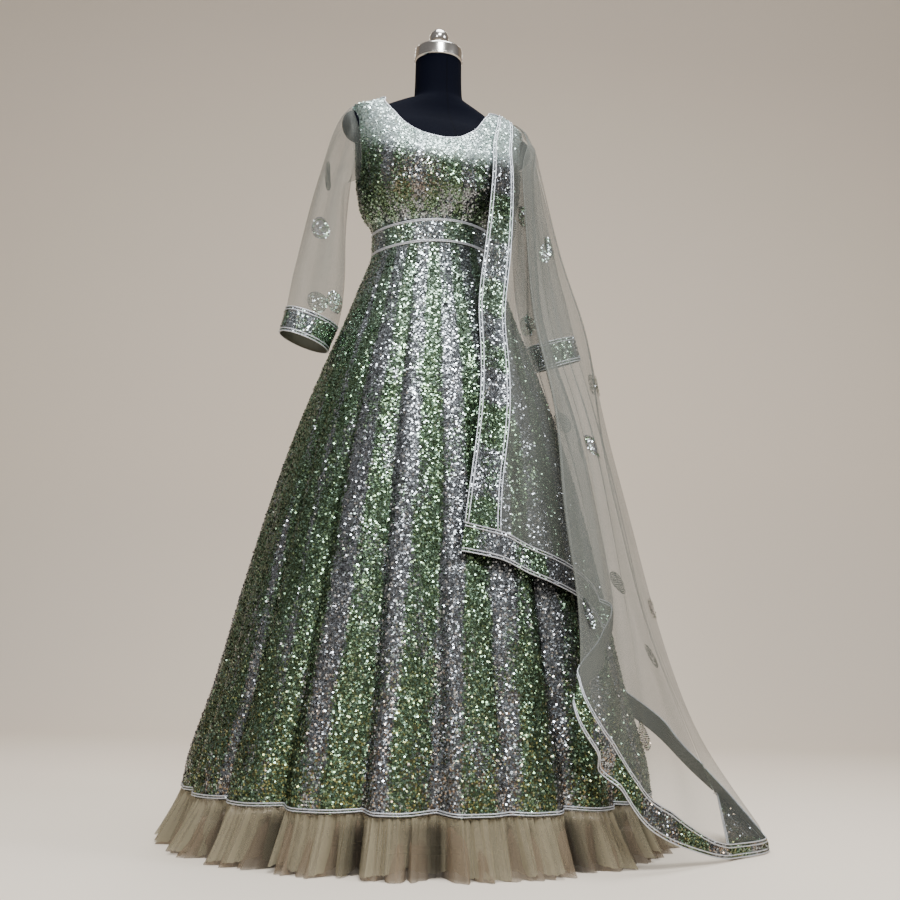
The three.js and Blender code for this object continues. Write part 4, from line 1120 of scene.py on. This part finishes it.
def frill_grid(start, rows, columns, under):
    """Gathered net from the hem down: fine gathers at the top that open into wide, uneven flutes."""
    turn = start + np.linspace(0.08, 179.92, columns)
    place = gather_place(turn, start)
    t = np.linspace(0, 1, rows)[:, None]
    depth = 0.006 + 0.002 * np.sin(place * 1.3 + 0.6)
    gathers = np.cos(np.pi * place) * depth * (0.35 + 0.65 * t)
    fine = np.cos(np.pi * place * 2.63 + 1.1 * np.sin(place)) * (0.0022 - 0.0006 * t)
    finer = np.cos(np.pi * place * 5.2 + 2.0 * np.sin(place * 0.7)) * (0.0014 - 0.0009 * t)
    wide = flutes(place, 2.9 if under else 3.7, 1.7 if under else 0.4 + start)
    gap = (1 - crest(turn)[0])[None] ** 2
    spread = t ** 1.2 * (0.034 * wide - 0.018 - 0.022 * gap)
    low = FRILL_FOOT + 0.0015 * np.sin(place * 1.9) + 0.0008 * np.sin(place * 17)
    if under:
        low = low * 0.25
        lump = 0.007 * np.sin(place * 1.13 + 2) * np.sin(place * 0.31) + 0.004 * np.sin(place * 6.1)
        flare = 0.030 + lump * smooth_step(0.6, 1, t)
        gathers = gathers * 0.7
    else:
        low = low + 0.013 - 0.009 * wide + 0.004 * np.sin(place * 0.47 + 1)
        flare = 0.029 + 0.004 * np.sin(place * 0.53)
    top = hem_height(turn)[None] - (0.012 if under else 0.0016)
    z = top + (low - top) * t
    offset = gathers + fine + finer + spread
    out = -0.003 + (flare + 0.003) * t + offset
    grid = skirt_point(turn[None] + z * 0, top + z * 0, out)
    grid[..., 2] = z
    slope = np.abs(np.gradient(offset, axis=1)) * columns
    dense = np.clip(slope / 2.6, 0, 1) * 0.5 + smooth_step(0.3, 0.0, t) * 0.3
    # Painted shade: the deep mark, set in the skirt's fold valleys and between the flutes, darkens the net
    # there.
    deep = np.clip(1.3 * gap + 0.8 * (1 - wide) ** 2, 0, 1) * smooth_step(0, 0.25, t)
    return grid, {"dense": np.clip(dense, 0, 1), "deep": deep}


class GOWN_OT_frill(bpy.types.Operator):
    """Model the gathered net frill, with the under layer that shows below it"""
    bl_idname = "gown.frill"
    bl_label = "Frill"

    def execute(self, context):
        look = colours()
        net = material("frill", net_material, "Frill net", look.frill, 0.42)
        edge = material("frill edge", net_material, "Frill under layer", look.frill_edge, 0.5)
        for name, start in (("frill_front", -90), ("frill_back", 90)):
            grid, marks = frill_grid(start, 14, 1300, False)
            outer = cloth_sheet(name + "_net", grid, marks=marks)
            finished(outer, [net], [name])
            grid, marks = frill_grid(start, 12, 760, True)
            under = cloth_sheet(name + "_under_layer", grid, marks=marks)
            finished(under, [edge])
        return {"FINISHED"}


# ---- gown: sleeves and cuffs ------------------------------------------------
def sleeve_ring(ring, a, side):
    spread = ring.spread if side > 0 else 0
    inner = np.array([ring.in_x + spread, ring.y - spread, ring.in_z])
    outer = np.array([ring.out_x + spread, ring.y - spread, ring.out_z])
    line = (inner + outer) / 2 + np.cos(a)[:, None] * (outer - inner) / 2
    line[:, 1] -= ring.half * np.sin(a)
    return line


def sleeve_sections(a, side):
    armhole = ring_point(BODICE_RINGS, 90 - ARMHOLE_TURN * np.sin(a),
                         ARMHOLE_MIDDLE + ARMHOLE_HALF * np.cos(a)) + (0.0026, 0, 0)
    return np.stack([armhole, *[sleeve_ring(ring, a, side) for ring in SLEEVE_RINGS]])


def refined(sections, steps):
    """More rows between sections, along smooth curves."""
    count = len(sections)
    knots = np.arange(count)
    fine = np.linspace(0, count - 1, (count - 1) * steps + 1)
    flat = sections.reshape(count, -1)
    out = np.stack([curve(knots, flat[:, k], fine) for k in range(flat.shape[1])], 1)
    return out.reshape((len(fine), *sections.shape[1:]))


def outward(grid, side):
    """The same tube on its own side of the body, with its columns so that its face is outside."""
    if side < 0:
        grid = grid * (-1, 1, 1)
    normal = normals_of(grid, True)
    middle = grid.mean(1, keepdims=True)
    return grid if (normal * (grid - middle)).sum() > 0 else grid[:, ::-1]


SLEEVE_BUTTAS = {
    1: [Butta(0.30, 0.42, 0.019), Butta(0.80, 0.62, 0.019), Butta(0.55, 0.88, 0.019)],
    -1: [Butta(0.158, 0.651), Butta(0.358, 0.889), Butta(0.716, 0.873), Butta(0.80, 0.36)],
}


class GOWN_OT_sleeves(bpy.types.Operator):
    """Model the sheer sleeves, their round sequin motifs and the cuffs"""
    bl_idname = "gown.sleeves"
    bl_label = "Sleeves"

    def execute(self, context):
        net = material("sleeve net", net_material, "Sleeve net", colours().net, 0.30)
        columns = 96
        a = 2 * np.pi * np.arange(columns) / columns
        for word, side in (("left", 1), ("right", -1)):
            grid = refined(sleeve_sections(a, side), 9)
            rows = len(grid)
            t = np.linspace(0, 1, rows)[:, None]
            swell = np.sin(np.pi * t) ** 0.6
            fold = (0.0022 * np.sin(3 * a[None] + 5 * t) + 0.0014 * np.sin(6 * a[None] - 3 * t + 1)) * swell
            grid = outward(grid, side)
            grid = lifted(grid, fold, True)
            dense = np.clip(0.30 * np.sin(6 * a[None] - 3 * t + 1) * swell, 0, 1)
            dense = dense + smooth_step(0.04, 0.0, t) * 0.4
            sleeve = cloth_sheet(f"sleeve_{word}_net", grid, True, {"dense": dense})
            finished(sleeve, [net], [f"sleeve_{word}"])
            dots = motifs(f"sleeve_{word}", grid, SLEEVE_BUTTAS[side], 0.001, draws(word))
            self.cuff(word, side, a)
        return {"FINISHED"}

    def cuff(self, word, side, a):
        last = SLEEVE_RINGS[-1]
        top = last._replace(in_z=last.in_z - 0.001, out_z=last.out_z - 0.001)
        sections = np.stack([sleeve_ring(top, a, side), sleeve_ring(CUFF_RING, a, side)])
        t = np.linspace(0, 1, 10)[:, None, None]
        grid = outward(sections[0] * (1 - t) + sections[1] * t, side)
        along = np.linspace(0, 0.28, grid.shape[1])[None] + np.zeros((10, 1))
        pairs = edge_pair(grid, "top", 0.0035, True) + edge_pair(grid, "foot", 0.0035, True)
        trim = piping(f"cuff_{word}", pairs, True)
        sequin_cloth(f"cuff_{word}", grid, band_value(along, 0.03, 0.11), [f"cuff_{word}"],
                     closed=True, small=True)


# ---- dupatta ----------------------------------------------------------------
OUTLINE_STEP = 0.006
OUTLINE_TURN = 2.0


@functools.cache
def outline_table():
    """The outline of the body and left sleeve, in steps of height and turn."""
    a = 2 * np.pi * np.arange(24) / 24
    sections = np.concatenate([sleeve_sections(a, 1), sleeve_ring(CUFF_RING, a, 1)[None]])
    cloud = refined(sections, 8).reshape(-1, 3)
    turns = np.arange(0, 361, OUTLINE_TURN)
    return np.array([level_reach(level, turns, cloud) for level in np.arange(0, 1.47, OUTLINE_STEP)])


def outline_reach(turn, z):
    """Distance from the axis to the outline of the body and left sleeve, at each turn and height."""
    return at_place(outline_table(), np.asarray(z) / OUTLINE_STEP, np.asarray(turn) % 360 / OUTLINE_TURN)


def level_reach(level, turns, cloud):
    """The reach of one level's hull at each turn."""
    if level > 1.150:
        rings, out = BODICE_RINGS, 0.003
    else:
        rings = SKIRT_RINGS
        out = 0.006 if level >= HEM else 0.012 + 0.030 * (HEM - level) / HEM
    body = ring_point(rings, np.arange(0, 360, 4.0), np.clip(level, 0.060, 1.452), out)[:, :2]
    near = cloud[np.abs(cloud[:, 2] - level) < 0.009][:, :2]
    points = np.concatenate([body, near])
    facing = np.radians(np.arange(0, 360, 1.0))
    ways = np.stack([np.sin(facing), -np.cos(facing)], 1)
    support = (points @ ways.T).max(0)
    a = np.radians(turns)
    look = np.stack([np.sin(a), -np.cos(a)], 1)
    cosine = look @ ways.T
    reach = np.where(cosine > 0.05, support[None] / np.maximum(cosine, 0.05), 9.0)
    return reach.min(1)


RIDGE = [r for r in BODICE_RINGS if r.z >= 1.418][::-1]


def ridge_height(x):
    return curve([r.wide for r in RIDGE], [r.z for r in RIDGE], x)


def taut(z, out, low, high):
    """Draws hanging lines straight over hollows, as cloth hangs from its highest points."""
    run = np.flatnonzero((z <= high) & (z >= low))
    if len(run) < 3:
        return out
    chain = []
    for k in run:
        while len(chain) > 1:
            a, b = chain[-2], chain[-1]
            if (out[b] - out[a]) * (z[a] - z[k]) >= (out[k] - out[a]) * (z[a] - z[b]):
                break
            chain.pop()
        chain.append(k)
    out = out.copy()
    out[run] = np.interp(-z[run], -z[chain], out[chain])
    return out


def shoulder_line(ridge, lift, side, rise, z, turn):
    """The stretch of a hanging line from the collar (rise 0) up to the top of the shoulder (rise 1)."""
    a = math.radians(turn)
    reach = outline_reach(turn, COLLAR) + lift
    foot_x, foot_y = reach * math.sin(a), -reach * math.cos(a)

    def lying(x, z, out):
        wide, deep, y = ring_at(BODICE_RINGS, z)
        return y + side * (deep + out) * np.sqrt(np.clip(1 - (x / (wide + out)) ** 2, 0, 1))

    x = foot_x + (ridge - foot_x) * rise
    y = lying(x, z - (lift - LEAST_LIFT * UPPER_LIFT + SEAT) * rise, (lift + SEAT) * (1 - rise))
    return x, y + (foot_y - lying(foot_x, COLLAR, lift + SEAT)) * (1 - rise) ** 2


def fall_point(folds, across):
    """Points of a hanging stretch's rows. across counts the fold lines."""
    def between(values):
        return curve(np.arange(len(folds)), values, across)

    ridge, foot, lift = (between([getattr(f, name) for f in folds]) for name in ("ridge", "foot", "lift"))
    turns = np.array([between(level) for level in zip(*[f.turns for f in folds])])
    reaches = np.array([between(level) for level in zip(*[f.reach for f in folds])])
    side = 1 if folds[0].turns[0] > 90 else -1
    start = ridge_height(ridge) + (lift - LEAST_LIFT) * UPPER_LIFT + SEAT
    z = row_heights(start, foot)
    grid = np.empty((*z.shape, 3))
    for j in range(len(across)):
        heights = LEVELS[::-1]
        turn = curve(heights, turns[::-1, j], z[:, j])
        least = curve(heights, reaches[::-1, j], z[:, j])
        share = UPPER_LIFT + (1 - UPPER_LIFT) * smooth_step(LEVELS[2], LEVELS[4], z[:, j])
        out = taut(z[:, j], np.maximum(outline_reach(turn, z[:, j]) + lift[j] * share, least), *WAIST_BRIDGE)
        grid[:, j] = np.stack([out * np.sin(np.radians(turn)), -out * np.cos(np.radians(turn)), z[:, j]], -1)
        above = z[:, j] > COLLAR
        rise = (z[above, j] - COLLAR) / (start[j] - COLLAR)
        x, y = shoulder_line(ridge[j], lift[j] * UPPER_LIFT, side, rise, z[above, j], turns[0, j])
        grid[above, j, 0], grid[above, j, 1] = x, y
    flat = grid[..., :2]
    for _ in range(STRAIGHTENING):
        flat[2:-8] = flat[2:-8] / 2 + (flat[1:-9] + flat[3:-7]) / 4
    return grid


# How far down a row is: 0 at the shoulder, then at the collar, the border's upper edge and the foot.
DOWN_COLLAR, DOWN_HEM, DOWN_FOOT = 3, 13, 14
DOWN = np.concatenate([np.linspace(0, DOWN_COLLAR, 10)[:-1], np.linspace(DOWN_COLLAR, DOWN_HEM, 81)[:-1],
                       np.linspace(DOWN_HEM, DOWN_FOOT, 7)])


def row_heights(start, foot):
    """Heights of a stretch's rows, between its lines' upper and lower ends."""
    low = np.maximum(foot, 0)
    hem = low + np.minimum(BORDER * 0.93, 0.020 + 0.62 * low)
    upper = np.stack([start, start - 0.009, start + (COLLAR - start) * 0.6, start * 0 + 1.395])
    rows = []
    for d in DOWN:
        if d <= DOWN_COLLAR:
            i = min(int(d), DOWN_COLLAR - 1)
            rows.append(upper[i] + (upper[i + 1] - upper[i]) * (d - i))
        elif d <= DOWN_HEM:
            share = (d - DOWN_COLLAR) / (DOWN_HEM - DOWN_COLLAR)
            rows.append(upper[-1] + (hem - upper[-1]) * share ** 1.35)
        else:
            rows.append(hem + (low - hem) * (d - DOWN_HEM))
    return np.array(rows)


BORDER_LIE = NET / 2 + 1.5 * GAP + TRIM / 2    # the border's middle, off the middle of the net
PLEAT_FOLD = 7.5         # the fold line in the middle of the doubled pleat
PLEAT_DENSE = 0.16
CORNER_FOOT = 11.9       # where the turned corner's inner edge starts, in fold lines
CORNER_START = 13        # where its outer edge starts
CORNER_RISE = 1.0        # how far up the long edge the turned corner goes, in fold lines

FRONT_BUTTAS = [
    Butta(0.201, 0.358), Butta(0.753, 0.326), Butta(0.247, 0.568), Butta(0.545, 0.850),
    Butta(0.708, 0.890), Butta(0.675, 0.62), Butta(0.90, 0.50), Butta(0.86, 0.74),
    Butta(0.40, 0.72),
]
BACK_BUTTAS = [
    Butta(0.06, 0.52), Butta(0.167, 0.789), Butta(0.067, 0.842), Butta(0.28, 0.60),
    Butta(0.32, 0.84), Butta(0.45, 0.48), Butta(0.47, 0.74), Butta(0.62, 0.60),
    Butta(0.62, 0.86), Butta(0.78, 0.48), Butta(0.78, 0.73),
]


class GOWN_OT_dupatta(bpy.types.Operator):
    """Model the two hanging stretches of the scarf, their borders, piping and motifs"""
    bl_idname = "gown.dupatta"
    bl_label = "Dupatta"

    def execute(self, context):
        self.front = self.stretch("dupatta_front_fall", FRONT_FOLDS, 11, FRONT_BUTTAS, (1.0, 0.95), 0.79)
        self.back = self.stretch("dupatta_back_fall", BACK_FOLDS, 15, BACK_BUTTAS, (1.0, 0.75), 0.58)
        front_last, back_last = len(FRONT_FOLDS) - 1, len(BACK_FOLDS) - 1
        turn_in = back_last - 4 / 3
        self.border("front_edge", self.front, (0, 1), (0.05, 0.98), hanging=True)
        self.border("front_end", self.front, (0, front_last), (1.4, 0.05))
        self.border("long_edge", self.back, (0, turn_in), (0.73, 0.05))
        self.border("back_end", self.back, (turn_in, back_last), (0.13, 0.05))
        self.border("back_edge", self.back, None, (0.05, 1.2), hanging=True)
        self.corner()
        return {"FINISHED"}

    def stretch(self, name, folds, steps, buttas, flat, area):
        """One stretch of net, with its ripples, its denser folds and its motifs."""
        net = material("net", net_material, "Scarf net", colours().net, 0.28)
        across = np.linspace(0, len(folds) - 1, (len(folds) - 1) * steps + 1)
        grid = fall_point(folds, across)
        d, u = DOWN[:, None], across[None]
        soft = smooth_step(2.5, 7, d) * smooth_step(DOWN_FOOT, 11, d)
        wave = np.sin(u * 4.7 + 1.4 * np.sin(u * 1.3) + 0.05 * d)
        ripple = (0.0026 + 0.002 * smooth_step(6, 9, d)) * wave * soft
        ripple = ripple + 0.0005 * np.sin(u * 11.3 + 1.9 * np.sin(u * 2.3)) * soft
        grid = lifted(grid, ripple)
        bend = np.linalg.norm(np.gradient(normals_of(grid), axis=1), axis=-1)
        width = np.linalg.norm(np.gradient(grid, axis=1), axis=-1)
        fold = np.clip(bend / np.maximum(width, 1e-4) / 140, 0, 1)
        bunched = smooth_step(3.5, 0.5, d) * 0.12
        dense = np.clip(fold * 0.35 + bunched + 0.14 * np.sin(u * 2.35 + 0.7 * np.sin(u * 1.3)) ** 4, 0, 1)
        if folds is FRONT_FOLDS:
            dense = np.clip(dense + PLEAT_DENSE * np.exp(-((u - PLEAT_FOLD) / 1.8) ** 2), 0, 1)
        piece = cloth_sheet(name + "_net", grid, marks={"dense": dense})
        finished(piece, [net], [name])
        dots = motifs(name, grid, buttas, 0.0012, draws(name))
        return grid, across

    def border(self, name, fall, columns, flat, hanging=False):
        """One strip of the border, down a hanging edge or along the foot."""
        grid, across = fall
        if hanging:
            rows, wide = np.linspace(0, DOWN_HEM, 140), 9
            edges = (("first", 0.002), ("last", 0.002))
        else:
            rows, wide = np.linspace(DOWN_HEM, DOWN_FOOT, 9), int((columns[1] - columns[0]) * 14) + 2
            edges = (("top", 0.002), ("foot", 0.003))
        rows_at = np.interp(rows, DOWN, np.arange(len(DOWN)))
        if columns:
            columns_at = np.interp(np.linspace(*columns, wide), across, np.arange(len(across)))
            r, c = np.meshgrid(rows_at, columns_at, indexing="ij")
        else:
            r, c = self.strip_at_edge(grid, rows_at, wide)
        strip = lifted(at_place(grid, r, c), np.full(r.shape, BORDER_LIE))
        along = mean_length(strip, 0)[:, None] if hanging else mean_length(strip, 1)[None]
        stripe = band_value(along + strip[..., 0] * 0, 0.05, 0.16)
        lines = [line for edge, inset in edges for line in edge_pair(strip, edge, inset)]
        trim = piping(f"dupatta_border_{name}", lines, False)
        sequin_cloth(f"dupatta_border_{name}", strip, stripe, [f"dupatta_border_{name}"],
                     small=True)

    def strip_at_edge(self, grid, rows_at, wide):
        """Places of a border's width, measured along the cloth from its last edge; gathered at the top."""
        count = grid.shape[1]
        r = np.repeat(rows_at[:, None], wide, 1)
        every = np.arange(count)[None] + np.zeros((len(rows_at), 1))
        lines = at_place(grid, np.repeat(rows_at[:, None], count, 1), every)[:, ::-1]
        c = np.empty(r.shape)
        for k, line in enumerate(lines):
            run = length_along(line)
            width = BORDER * (0.35 + 0.65 * smooth_step(0, 20, rows_at[k]))
            c[k] = count - 1 - np.interp(np.linspace(width, 0, wide), run, np.arange(count))
        return r, c

    def corner(self):
        """The border turned over on the inner side, where the long edge meets the end."""
        grid, across = self.front

        def at_foot(folds):
            column = np.interp(folds, across, np.arange(len(across)))
            return at_place(grid, np.full(len(column), len(DOWN) - 1.001), column)

        share = np.linspace(0.97, 0, 24)
        right = at_foot(CORNER_START + CORNER_RISE * share)
        start = at_foot(np.array([CORNER_FOOT]))
        left = start + (right[0] - start) * share[:, None] / share[0]
        wide = np.linspace(0, 1, 10)[None, :, None]
        strip = left[:, None] * (1 - wide) + right[:, None] * wide
        strip = lifted(strip, np.full(strip.shape[:2], 0.004))
        strip[..., 2] += 0.003
        stripe = band_value(share[:, None] * 0.12 + strip[..., 0] * 0, 0.02, 0.1)
        lines = edge_pair(strip, "first", 0.002) + edge_pair(strip, "last", 0.002)
        trim = piping("dupatta_corner", lines, False)
        sequin_cloth("dupatta_corner", strip, stripe, [],
                     small=True)


# ---- dress form -------------------------------------------------------------
SHOULDER_END_PLACE = (0.178, -0.010, 1.378)
SHOULDER_END_SIZE = (0.027, 0.016, 0.033)


def end_edit(piece, angle=None):
    """Turns the faces outwards, leaves edit mode and puts the piece's place in its mesh."""
    bpy.ops.mesh.select_all(action="SELECT")
    bpy.ops.mesh.normals_make_consistent(inside=False)
    bpy.ops.object.mode_set(mode="OBJECT")
    bpy.ops.object.transform_apply(location=True, rotation=True, scale=True)
    if angle is None:
        bpy.ops.object.shade_smooth()
    else:
        bpy.ops.object.shade_smooth_by_angle(angle=angle)
    return piece


def lathe(name, profile, steps):
    """A turned piece: its outline, as (radius, height) from the axis and back, spun round it."""
    mesh = bpy.data.meshes.new(name)
    points = [(radius, 0, height) for radius, height in profile]
    mesh.from_pydata(points, [(k, k + 1) for k in range(len(points) - 1)], [])
    piece = linked(name, mesh)
    edit_all(piece)
    bpy.ops.mesh.spin(steps=steps, angle=2 * math.pi, center=(0, 0, 0), axis=(0, 0, 1))
    bpy.ops.mesh.select_all(action="SELECT")
    bpy.ops.mesh.remove_doubles(threshold=1e-5)
    return end_edit(piece, math.radians(35))


class GOWN_OT_form(bpy.types.Operator):
    """Model the limbless dress form, its neck cap and finial, and finish the stand"""
    bl_idname = "gown.form"
    bl_label = "Dress form"

    def execute(self, context):
        look = colours()
        jersey = material("jersey", jersey_material, look)
        steel = material("steel", steel_material, look)
        paint = material("paint", painted_material, look)
        finished(self.torso(), [jersey], ["form_torso"])
        for side in (-1, 1):
            finished(self.shoulder_end(side), [jersey])
        finished(self.cap(), [steel], ["form_neck_cap"])
        finished(self.finial(), [steel], ["form_finial"])
        for node, finish in (("form_pole", steel), ("form_base", paint)):
            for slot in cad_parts[node].material_slots:
                slot.material = finish
        return {"FINISHED"}

    def torso(self):
        """Extruded upwards ring by ring, each one drawn in or out to its own size."""
        heights = np.concatenate([np.linspace(FORM_FOOT, 1.38, 34), np.linspace(1.39, 1.47, 18),
                                  np.linspace(1.478, NECK_TOP, 10)])
        wide, deep, y = ring_at(FORM_RINGS, heights)
        bpy.ops.mesh.primitive_circle_add(vertices=112, radius=1.0, fill_type="NGON",
                                          location=(0, y[0], heights[0]))
        piece = bpy.context.object
        piece.name = "form_torso_cover"
        edit_all(piece)
        bpy.ops.transform.resize(value=(wide[0], deep[0], 1), center_override=(0, y[0], heights[0]))
        for k in range(1, len(heights)):
            bpy.ops.mesh.extrude_region_move(
                TRANSFORM_OT_translate={"value": (0, y[k] - y[k - 1], heights[k] - heights[k - 1])})
            bpy.ops.transform.resize(value=(wide[k] / wide[k - 1], deep[k] / deep[k - 1], 1),
                                     center_override=(0, y[k], heights[k]))
        return end_edit(piece, math.radians(50))

    def shoulder_end(self, side):
        """The rounded end of a shoulder, which fills the top of the sheer sleeve."""
        place = (side * SHOULDER_END_PLACE[0], *SHOULDER_END_PLACE[1:])
        bpy.ops.mesh.primitive_uv_sphere_add(segments=40, ring_count=24, radius=1.0, location=place)
        piece = bpy.context.object
        piece.name = "form_shoulder_end_" + ("left" if side > 0 else "right")
        edit_all(piece)
        bpy.ops.transform.resize(value=SHOULDER_END_SIZE, center_override=place)
        bpy.ops.transform.rotate(value=side * math.radians(-14), orient_axis="Y", center_override=place)
        return end_edit(piece)

    def cap(self):
        foot, top, r = NECK_TOP + GAP, CAP_TOP, CAP_RADIUS
        lip = 0.0015
        return lathe("form_neck_cap_turned", [
            (0, foot), (r - 0.002, foot), (r, foot + 0.001), (r + lip, foot + 0.003),
            (r + lip, foot + 0.005), (r, foot + 0.0065), (r, top - 0.0105), (r - 0.0006, top - 0.008),
            (r - 0.003, top - 0.005), (r - 0.006, top - 0.0036), (r - 0.018, top - 0.0012),
            (0.021, top - 0.0006), (0.0195, top), (0, top),
        ], steps=96)

    def finial(self):
        ball = 0.0195
        middle = FINIAL_TOP - ball
        stem = [(0, CAP_TOP + GAP), (0.0145, CAP_TOP + GAP), (0.0142, CAP_TOP + 0.0016),
                (0.0095, CAP_TOP + 0.0034), (0.0088, CAP_TOP + 0.005)]
        arc = [math.radians(-60 + 150 * k / 22) for k in range(23)]
        round_part = [(ball * math.cos(a), middle + ball * math.sin(a)) for a in arc]
        round_part[-1] = (0, FINIAL_TOP)
        return lathe("form_finial_turned", stem + round_part, steps=64)


# ---- stage ------------------------------------------------------------------
CAMERA_PLACE = (-0.951, -2.401, 0.3752)
CAMERA_TURN = -21.6064 - 0.8989      # degrees from +Y
CAMERA_RISE = 8.1607
CAMERA_ROLL = 1.2049
CAMERA_LENS = 52.876


class GOWN_OT_stage(bpy.types.Operator):
    """Place the camera, the soft lights and the pale floor"""
    bl_idname = "gown.stage"
    bl_label = "Stage"

    def execute(self, context):
        self.camera()
        self.floor()
        self.light("Overhead", (0.15, -0.15, 3.2), (0, 0, 1.2), 1.3, 72, (0.93, 0.98, 1.0))
        self.light("Key", (-0.5, -2.3, 3.0), (0, 0, 0.9), 0.8, 100, (0.93, 0.98, 1.0))
        self.light("Front fill", (-2.6, -2.6, 2.0), (0, 0, 0.7), 0.8, 32, (0.97, 0.98, 1.0))
        self.light("Side", (2.3, -2.2, 2.3), (0, 0, 0.7), 0.7, 40, (0.94, 0.97, 1.0))
        self.light("Back", (0.9, 2.4, 2.6), (0, 0, 1.0), 1.0, 34, (1.0, 0.95, 0.9))
        world = bpy.data.worlds.new("Studio")
        world.use_nodes = True
        world.node_tree.nodes["Background"].inputs["Color"].default_value = (0.95, 0.93, 0.92, 1)
        world.node_tree.nodes["Background"].inputs["Strength"].default_value = 0.26
        context.scene.world = world
        return {"FINISHED"}

    def camera(self):
        yaw, rise, roll = map(math.radians, (CAMERA_TURN, CAMERA_RISE, CAMERA_ROLL))
        forward = Vector((-math.sin(yaw) * math.cos(rise), math.cos(yaw) * math.cos(rise), math.sin(rise)))
        right = Vector((math.cos(yaw), math.sin(yaw), 0))
        up = right.cross(forward)
        across = right * math.cos(roll) + up * math.sin(roll)
        above = up * math.cos(roll) - right * math.sin(roll)
        data = bpy.data.cameras.new("Camera")
        data.lens = CAMERA_LENS
        data.sensor_width = 36
        camera = linked("Camera", data)
        turned = Matrix((across, above, -forward)).transposed().to_4x4()
        camera.matrix_world = Matrix.Translation(CAMERA_PLACE) @ turned
        bpy.context.scene.camera = camera

    def floor(self):
        """Floor that curves up into a backdrop behind the gown."""
        yaw = math.radians(CAMERA_TURN)
        behind = np.array([-math.sin(yaw), math.cos(yaw)])
        side = np.array([math.cos(yaw), math.sin(yaw)])
        bend, start = 1.2, 2.4
        arc = np.radians(np.linspace(0, 90, 24))
        curved = [(start + bend * math.sin(a), bend - bend * math.cos(a)) for a in arc]
        path = [(-9.0, 0.0), (0.0, 0.0), *curved, (start + bend, 9.0)]
        grid = np.array([[(*(behind * far + side * wide), z) for wide in (-9, -3, 3, 9)] for far, z in path])
        piece = cloth_sheet("floor", grid[::-1])
        piece.data.materials.append(material("floor", floor_material, colours()))

    def light(self, name, place, aim, size, power, colour):
        data = bpy.data.lights.new(name, "AREA")
        data.shape = "SQUARE"
        data.size = size
        data.energy = power
        data.color = colour
        light = linked(name, data)
        light.location = place
        light.rotation_euler = (Vector(aim) - Vector(place)).to_track_quat("-Z", "Y").to_euler()


# ---- add-on -----------------------------------------------------------------
class GOWN_PT_pieces(bpy.types.Panel):
    """Every step of the gown, in the order they are made"""
    bl_label = "Gown"
    bl_idname = "GOWN_PT_pieces"
    bl_space_type = "VIEW_3D"
    bl_region_type = "UI"
    bl_category = "Gown"

    def draw(self, context):
        for group in (context.scene.gown_sizes, context.scene.gown_colours):
            for name in group.__annotations__:
                self.layout.prop(group, name)
        for step in STEPS:
            self.layout.operator(step.bl_idname)


STEPS = (GOWN_OT_stage, GOWN_OT_form, GOWN_OT_bodice, GOWN_OT_waistband, GOWN_OT_skirt, GOWN_OT_frill,
         GOWN_OT_sleeves, GOWN_OT_dupatta)
CLASSES = (GownSizes, GownColours, *STEPS, GOWN_PT_pieces)


def register():
    for one in CLASSES:
        bpy.utils.register_class(one)
    bpy.types.Scene.gown_sizes = bpy.props.PointerProperty(type=GownSizes)
    bpy.types.Scene.gown_colours = bpy.props.PointerProperty(type=GownColours)


def unregister():
    del bpy.types.Scene.gown_sizes
    del bpy.types.Scene.gown_colours
    for one in reversed(CLASSES):
        bpy.utils.unregister_class(one)


def main():
    register()
    bpy.ops.gown.stage()
    bpy.ops.gown.form()
    bpy.ops.gown.bodice()
    bpy.ops.gown.waistband()
    bpy.ops.gown.skirt()
    bpy.ops.gown.frill()
    bpy.ops.gown.sleeves()
    bpy.ops.gown.dupatta()


if __name__ == "__main__":
    main()
